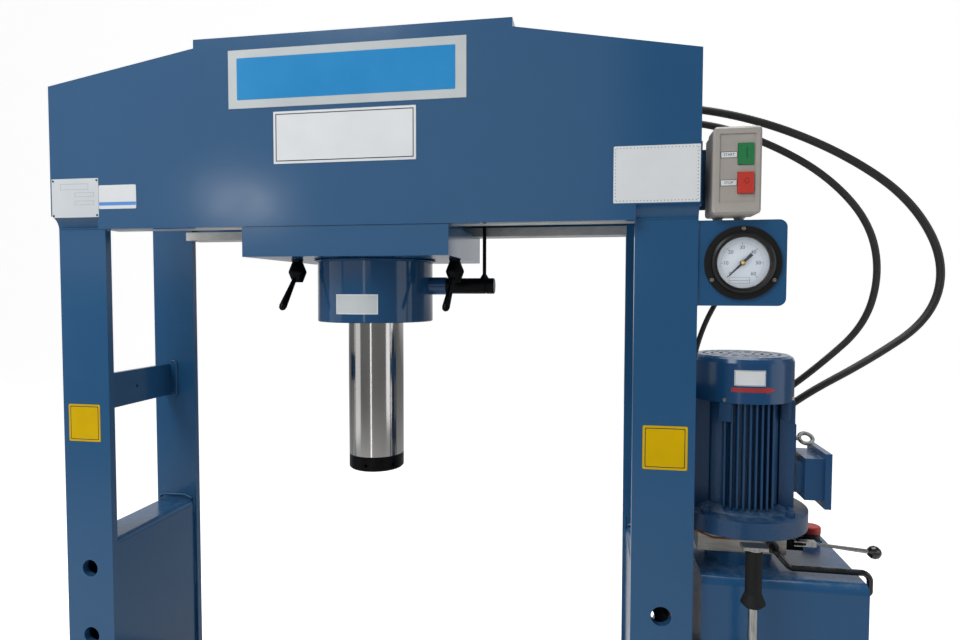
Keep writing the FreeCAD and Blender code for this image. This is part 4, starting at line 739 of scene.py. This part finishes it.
def nameplate_rivets():
    """Domed rivets at the corners of the riveted plate."""
    dome = [(2.2, 0), (2.2, 0.6), (1.7, 1.3), (0.8, 1.6), (0.1, 1.65)]
    joined("nameplate_rivets", [turned_solid(dome, (x, HEAD_FACE - 0.7, z), (0, -1, 0), 16)
                                for x in (-652.5, -548.8) for z in (1619, 1691.5)],
           PRINT_BROWN, smooth=True)


head_plates()
bar_plates()
dotted_edge()
empty_fields("nameplate_fields", ((-635, -569, 1673, 1685), (-601, -556, 1658, 1666.5),
                                  (-601, -556, 1641, 1649.5)),
             0.5, HEAD_FACE - METAL_PLATE, PRINT_GREY)
nameplate_rivets()

# ------------------------------------------------------------------ stickers on round parts
# axis and radius of the cylinder's barrel and of the motor's cowl
BARREL_X, BARREL_R = -2.5, 126.0
MOTOR_X, COWL_R = 772.0, 98.5
# how far a sticker's face and its edge stand off the round part
FOIL, FOIL_EDGE = 0.35, 0.02


def wrap_round(pts, axis_x, radius):
    """Flat points (x, y, z) wrapped round a vertical cylinder: x becomes arc length, -y the height
    above the cylinder and z stays."""
    x, y, z = pts[..., 0], pts[..., 1], pts[..., 2]
    a = (x - axis_x) / radius
    r = radius - y
    return np.stack([axis_x + r * np.sin(a), -r * np.cos(a), z], -1) * MM


def wrapped_plate(name, seen, heights, axis_x, radius, finishes, body, borders):
    """Sticker on a cylinder: a grid over arc length and height, bent round the axis, with a thin rim.
    seen gives its two sides in x, as a front view shows them. An arc is radius*asin(x/radius)."""
    x0, x1 = (axis_x + radius * math.asin((x - axis_x) / radius) for x in seen)
    z0, z1 = heights

    def grid_lines(lo, hi, count):
        inner = [place for b in borders for place in (lo + b, hi - b)]
        lines = np.unique(np.concatenate([np.linspace(lo, hi, count), inner]))
        return np.concatenate([lines[:1], lines, lines[-1:]])

    px, pz = np.meshgrid(grid_lines(x0, x1, 25), grid_lines(z0, z1, 5))
    depth = np.full(px.shape, -FOIL)
    depth[[0, -1]] = -FOIL_EDGE
    depth[:, [0, -1]] = -FOIL_EDGE
    pts = wrap_round(np.stack([px, depth, pz], -1), axis_x, radius)
    rows, cols = px.shape
    quads = grid_faces(rows, cols, wrap_cols=False)
    middle = np.stack([px, pz], -1).reshape(-1, 2)[quads].mean(1)
    edge = np.minimum.reduce([middle[:, 0] - x0, x1 - middle[:, 0],
                              middle[:, 1] - z0, z1 - middle[:, 1]])
    marks = np.searchsorted(borders, edge)
    idx = np.arange(rows * cols).reshape(rows, cols)
    back = np.concatenate([idx[0, :], idx[1:, -1], idx[-1, -2::-1], idx[-2:0:-1, 0]])[::-1]
    piece(name, pts, quads.tolist() + [back.tolist()], body, finishes, smooth=False,
          marks=np.append(marks, 0))


def turning_arrow():
    """Red arrow on the cowl, seen from the front: the half height at each arc length is that of the
    shaft, then the head's, which narrows evenly to the point."""
    tail, neck, point, level = -38.0, 26.0, 46.0, 1275.0
    stops = np.array([tail, neck, neck + 0.01, point])
    halves = np.array([4.3, 4.3, 7.0, 0.15])
    along = np.unique(np.concatenate([np.linspace(tail, point, 40), stops]))
    side = np.array([-1.0, -1.0, 0.0, 1.0, 1.0])
    depth = np.array([-FOIL_EDGE, -0.3, -0.3, -0.3, -FOIL_EDGE])
    pz = level + side[:, None] * np.interp(along, stops, halves)
    px = np.broadcast_to(along + MOTOR_X, pz.shape)
    py = np.broadcast_to(depth[:, None], pz.shape)
    pts = wrap_round(np.stack([px, py, pz], -1), MOTOR_X, COWL_R)
    rows, cols = pz.shape
    idx = np.arange(rows * cols).reshape(rows, cols)
    back = np.stack([idx[0, :-1], idx[-1, :-1], idx[-1, 1:], idx[0, 1:]], -1).tolist()
    ends = [idx[:, 0].tolist(), idx[::-1, -1].tolist()]
    piece("cowl_arrow", pts, grid_faces(rows, cols, wrap_cols=False).tolist() + back + ends, "frame",
          [RED_PRINT], smooth=False)


wrapped_plate("cylinder_plate", (-47.5, 42), (1413.8, 1454.5), BARREL_X, BARREL_R,
              [WHITE_PLATE, SILVER_PLATE], "carriage", borders=(1.6,))
wrapped_plate("cowl_plate", (740, 795.5), (1283, 1312.5), MOTOR_X, COWL_R,
              [WHITE_PLATE, PRINT_DARK, WHITE_PLATE], "frame", borders=(1.0, 1.6))
turning_arrow()

# ------------------------------------------------------------------ starter marks
KEY_X = 736.5
STARTER_RECESS = front_of("starter_cover") + 2


def starter_tags():
    """White tags with a dark edge beside the two keys, with the plain words START and STOP."""
    for words, low in (("START", 1696), ("STOP", 1647)):
        high = low + 11
        plate("starter_tag_" + words.lower(), 693, 721, low, high, STARTER_RECESS, STICKER, 0.8,
              [PRINT_DARK, WHITE_PLATE], borders=(0.8,))
        lettering("starter_word_" + words.lower(), words, 4.4,
                  (707, STARTER_RECESS - STICKER - 0.05, (low + high) / 2))


def key_marks():
    """A raised bar on the green key, and on the red one a raised ring: four loops of 40 points, out to
    in, a little narrower than high."""
    bar = rounded_outline(KEY_X - 1.2, KEY_X + 1.2, 1695, 1713, 0.5)
    joined("green_key_mark", [printed(bar, front_of("starter_button_green"), MARK_HIGH)], GREEN_MARK,
           "green_key")
    sides, outer, inner = 40, 5.4, 3.7
    t = np.linspace(0, 2 * math.pi, sides + 1)[:-1]
    loop = np.stack([np.cos(t), np.sin(t)], -1) * (0.8, 1.0)
    levels = [(outer, 0.0), (outer, MARK_HIGH), (inner, MARK_HIGH), (inner, 0.0)]
    red_face = front_of("starter_button_red")
    pts = np.stack([on_front(np.array([KEY_X, 1655]) + r * loop, red_face - h) for r, h in levels]) * MM
    k, last = np.arange(sides), 3 * sides
    nxt = (k + 1) % sides
    under = np.stack([k, nxt, last + nxt, last + k], -1)
    piece("red_key_mark", pts, np.concatenate([grid_faces(4, sides)[:, ::-1], under]), "red_key",
          [RED_MARK], smooth=False)


starter_tags()
key_marks()

# ------------------------------------------------------------------ gauge print and hub
GAUGE_X, GAUGE_Z = 737.0, 1512.5
GAUGE_FACE, DIAL_FACE = front_of("gauge_plate"), front_of("gauge_dial")
DIAL_TOP = 60


def dial_angle(value):
    """Angle of a value on the dial: 0 stands at 225 degrees and 60 at -45, seen from the front."""
    return math.radians(225 - 270 * value / DIAL_TOP)


def tick(value):
    """Scale mark: a thin bar along the radius at the value's angle, longer at fives and tens, and
    twice as thick at tens."""
    inner, outer, half = 35.6, 37.2, 0.17
    if value % 5 == 0:
        inner = 34.6
    if value % 10 == 0:
        inner, half = 32.6, 0.34
    u = np.array([math.cos(dial_angle(value)), math.sin(dial_angle(value))])
    n = np.array([-u[1], u[0]])
    bar = np.array([inner * u - half * n, outer * u - half * n,
                    outer * u + half * n, inner * u + half * n])
    return printed(bar + [GAUGE_X, GAUGE_Z], DIAL_FACE)


def gauge_print():
    """Marks, numbers and two empty fields of the dial, and the brass cap on the needle's hub."""
    joined("dial_scale", [tick(value) for value in range(DIAL_TOP + 1)], PRINT_DARK)
    number_rad = 27.6
    for value in range(0, DIAL_TOP + 1, 10):
        a = dial_angle(value)
        lettering("dial_number_%d" % value, str(value), 6.4,
                  (GAUGE_X + number_rad * math.cos(a), DIAL_FACE - 0.08,
                   GAUGE_Z + number_rad * math.sin(a)))
    left, right = GAUGE_X - 21.7, GAUGE_X + 13.7
    empty_fields("dial_fields", ((left, right, GAUGE_Z - 36.6, GAUGE_Z - 31),
                                 (left, right, GAUGE_Z - 31.3, GAUGE_Z - 25.4)),
                 0.4, DIAL_FACE, PRINT_DARK)
    cap = [(3.6, 0), (3.6, 1.0), (3.0, 1.8), (1.6, 2.3), (0.05, 2.4)]
    joined("needle_cap", [turned_solid(cap, (GAUGE_X, GAUGE_FACE - 4.4, GAUGE_Z), (0, -1, 0), 24)],
           BRASS, "pointer", smooth=True)


def screw_recesses():
    """Painted shade of the pan screws' cross recesses: a dark plus sign on each head stands for
    the shade in its recess, three on the gauge's flange and four round the cowl."""
    half, arm, deep = 0.35, 2.2, 0.12
    cross = np.array([(half, half), (half, arm), (-half, arm), (-half, half), (-arm, half),
                      (-arm, -half), (-half, -half), (-half, -arm), (half, -arm), (half, -half),
                      (arm, -half), (arm, half)]) * MM
    crosses = []
    for degrees in (90, 210, 330):
        a, tilt = math.radians(degrees), math.radians(degrees * 0.37)
        x, z = GAUGE_X + 61 * math.cos(a), GAUGE_Z + 61 * math.sin(a)
        u = np.array([math.cos(tilt), 0, math.sin(tilt)])
        crosses.append(prism(cross, np.array([x, GAUGE_FACE - 7.8, z]) * MM, u,
                             np.cross(u, [0, 1, 0]), deep * MM))
    for k in range(4):
        a = math.radians(241 + 90 * k)
        out = np.array([math.cos(a), math.sin(a), 0])
        crosses.append(prism(cross, (np.array([MOTOR_X, 0, 1254]) + out * (COWL_R + 2.8)) * MM,
                             np.cross([0, 0, 1], out), (0, 0, 1), deep * MM))
    # dark plus signs: painted shade in place of the hollow cross recesses
    joined("screw_recesses", crosses, PRINT_DARK)


gauge_print()
screw_recesses()


# ------------------------------------------------------------------ tank bends and weld beads
def tank_bends():
    """Bends along the tank's upper edges: an arc of thin sheet over each, a fifth of a millimetre
    proud, from 2 to 88 degrees of the quarter turn between side and top."""
    bend, proud, thin, top, end_gap = 16 * MM, 0.2 * MM, 0.8 * MM, 926 * MM, 0.1 * MM
    low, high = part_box("oil_tank")
    turn = np.linspace(math.radians(2), math.radians(88), 28)
    arc = np.stack([np.cos(turn), np.sin(turn)], -1)
    section = np.concatenate([arc * (bend + proud), arc[::-1] * (bend - thin)])
    strips = []
    for face, out in ((low.y, -1), (high.y, 1)):
        outline = section * [out, 1] + [face - out * bend, top - bend]
        outline = outline[::-1] if out < 0 else outline
        strips.append(prism(outline, (low.x + end_gap, 0, 0), (0, 1, 0), (0, 0, 1),
                            high.x - low.x - 2 * end_gap))
    joined("tank_bends", strips, BLUE_SHEET)


def bead(*stops, leg=3.2, ref=None):
    """Weld bead: a round section along a run of straight lines. Its radius follows |cos| of the
    length, one swell for each ripple, and fades at both ends."""
    ripple = 3.4
    stops = np.asarray(stops, float)
    run = np.concatenate([[0], np.cumsum(np.linalg.norm(np.diff(stops, axis=0), axis=1))])
    n = max(8, int(run[-1] / ripple) * 3)
    s = np.linspace(0, 1, n)
    line = np.stack([np.interp(s * run[-1], run, stops[:, k]) for k in range(3)], -1)
    swell = 0.86 + 0.14 * np.abs(np.cos(s * n / 3 * math.pi))
    swell *= np.clip(np.minimum(s, 1 - s) * n / 4 + 0.45, 0.45, 1)
    along = unit(stops[-1] - stops[0])
    ref = ref or ((0, 0, 1) if abs(along[2]) < 0.9 else (0, 1, 0))
    pts, quads, _ = swept(line * MM, leg * swell * MM, 8, ref)
    return pts, quads, closed_ends(n, 8)


def side_beads(s):
    """Beads of one side of the frame, s = -1 left and 1 right: round the brace ends, over the side
    panel's top, along the foot of each bar and under the head's coves, beside the gussets, and in
    stitches up the side panel."""
    beads = []
    sideways = (0, 1, 0)
    bar_insides, bar_outsides = (-142, 142), (-158, 158)
    brace = s * 618
    for y in bar_insides:
        face = y - math.copysign(1.5, y)
        beads.append(bead((brace - s * 4, face, 1279), (brace - s * 14, face, 1279),
                          (brace - s * 20, face, 1272), (brace - s * 20, face, 1192),
                          (brace - s * 12, face, 1184), leg=3.6, ref=sideways))
        beads.append(bead((s * 654, face, 915), (s * 648, face, 924), (s * 640, face, 926),
                          (s * 580, face, 926), (s * 558, face, 916), leg=3.8, ref=sideways))
    for y in bar_outsides:
        beads.append(bead((s * 552, y, 16), (s * 656, y, 16), leg=4))
        beads.append(bead((s * 553, y, 1593), (s * 657, y, 1596), leg=1.8))
    for x in (s * 598, s * 610):
        for y in (-1, 1):
            beads.append(bead((x, y * 160, 16), (x, y * 340, 16), leg=2.6))
    for z in range(120, 900, 190):
        for y in bar_insides:
            beads.append(bead((s * 554, y, z), (s * 554, y, z + 60), leg=2.6))
    return beads


tank_bends()
plate_bead = bead((660, -153.5, 1438), (660, -153.5, 1588), leg=2.6)
bracket_bead = bead((660, -158, 1619), (660, -158, 1729), leg=2.2)
joined("weld_beads", side_beads(-1) + side_beads(1) + [plate_bead, bracket_bead], BLUE, smooth=True)


# ------------------------------------------------------------------ floor, light and camera
def seen_directly(net):
    """A socket that is 1 for rays from the camera and through glass, and the Light Path's outputs."""
    path = net.add("ShaderNodeLightPath").outputs
    return net.math("MAXIMUM", path["Is Camera Ray"], path["Is Transmission Ray"]), path


def backdrop_white():
    """White that glows to the camera and through glass. Its wall also glows in reflections, more with
    height, and the floor doesn't, so low polished parts keep their dark side."""
    m, net, shader = blank_material("backdrop_white")
    base = net.blend(net.noise(net.place(), 0.6), srgb("e6e7e7"), srgb("ececec"))
    net.put(shader, "Base Color", base)
    set_plain(shader, Roughness=0.8, Emission_Color=(1, 1, 1, 1))
    seen, path = seen_directly(net)
    wall = net.span(net.apart(net.place())[2], 0.1, 1.6, 0.0, 0.75)
    seen = net.math("MAXIMUM", seen, net.math("MULTIPLY", path["Is Glossy Ray"], wall))
    net.put(shader, "Emission Strength", net.math("MULTIPLY", seen, 0.8))
    return m


def backdrop():
    """Pale floor that runs up into a wall far behind: a quarter circle joins the two."""
    near, far, wall_top, half_wide, radius = -9.0, 9.0, 9.0, 14.0, 3.0
    t = np.linspace(0, math.pi / 2, 12)
    arc = np.stack([far + radius * np.sin(t), radius - radius * np.cos(t)], -1)
    line = np.concatenate([[(near, 0.0)], arc, [(far + radius, wall_top)]])
    across = np.array([-half_wide, half_wide])
    shape = (len(line), 2)
    pts = np.stack([np.broadcast_to(across[None], shape), np.broadcast_to(line[:, :1], shape),
                    np.broadcast_to(line[:, 1:], shape)], -1)
    mesh = bpy.data.meshes.new("backdrop")
    faces = grid_faces(len(line), 2, wrap_cols=False)
    mesh.from_pydata(pts.reshape(-1, 3).tolist(), [], faces.tolist())
    mesh.materials.append(backdrop_white())
    mesh.polygons.foreach_set("use_smooth", np.full(len(mesh.polygons), True))
    show("backdrop", mesh)


def sky():
    """Even white surround: full white to the camera and through glass, and a soft fill as light and in
    reflections."""
    fill = 0.2
    world = bpy.data.worlds.new("surround")
    bpy.context.scene.world = world
    world.use_nodes = True
    net = Net(world.node_tree)
    back = world.node_tree.nodes["Background"]
    seen, _ = seen_directly(net)
    net.put(back, "Color", (1, 1, 1, 1))
    net.put(back, "Strength", net.math("ADD", fill, net.math("MULTIPLY", seen, 1 - fill)))


def lamp(name, place, target, wide, high, power):
    """Rectangular lamp of wide by high metres at place, turned to target."""
    data = bpy.data.lights.new(name, "AREA")
    data.shape = "RECTANGLE"
    data.size, data.size_y = wide, high
    data.energy = power
    obj = show(name, data)
    obj.location = place
    obj.rotation_euler = (Vector(target) - Vector(place)).to_track_quat("-Z", "Y").to_euler()


def lamps():
    """Soft lamps: key, the sheen on the head, its left highlight, both sides, the line down the ram
    and the top."""
    lamp("key_softbox", (-1.6, -2.7, 4.2), (0.0, 0.0, 1.3), 2.0, 1.8, 100)
    lamp("front_softbox", (-2.1, -4.6, 2.8), (-2.1, 0.0, 2.6), 5.6, 2.4, 29)
    lamp("left_softbox", (-2.6, -4.3, 2.27), (-0.2, 0.0, 1.6), 0.6, 0.32, 3.9)
    lamp("left_panel", (-3.6, -1.5, 1.6), (0.0, -0.2, 1.3), 2.4, 2.8, 17)
    lamp("right_panel", (3.9, -1.0, 1.7), (0.0, -0.1, 1.2), 2.4, 2.8, 25)
    lamp("strip", (-0.25, -3.7, 0.87), (0.0, 0.0, 0.87), 0.2, 1.75, 3.0)
    lamp("top_softbox", (0.2, 0.6, 4.6), (0.2, 0.2, 0.0), 3.4, 2.4, 116)


YAW, PITCH, ROLL = 0.17086, 0.04189, 0.00184
CAMERA_PLACE = (0.46893, -1.36805, 1.45743)
FOCAL_PIXELS, IMAGE_PIXELS, SENSOR = 639.575, 960.0, 36.0


def camera():
    """Camera at its place: looks towards +Y, turned left by YAW, down by PITCH and rolled by ROLL
    radians. Its lens is the focal length in pixels, scaled from the image's width to the sensor's."""
    look = Vector((-math.sin(YAW) * math.cos(PITCH), math.cos(YAW) * math.cos(PITCH), -math.sin(PITCH)))
    level = Vector((math.cos(YAW), math.sin(YAW), 0))
    rise = level.cross(look)
    right = level * math.cos(ROLL) + rise * math.sin(ROLL)
    upward = right.cross(look)
    data = bpy.data.cameras.new("view")
    data.sensor_width = SENSOR
    data.lens = FOCAL_PIXELS * SENSOR / IMAGE_PIXELS
    cam = show("view", data)
    turn = Matrix((right, upward, -look)).transposed().to_4x4()
    cam.matrix_world = Matrix.Translation(CAMERA_PLACE) @ turn
    bpy.context.scene.camera = cam


backdrop()
sky()
lamps()
camera()
bpy.context.scene.view_settings.view_transform = "Standard"


def plain(bounds):
    """Two corners as plain lists of numbers."""
    return [[float(c) for c in corner] for corner in bounds]
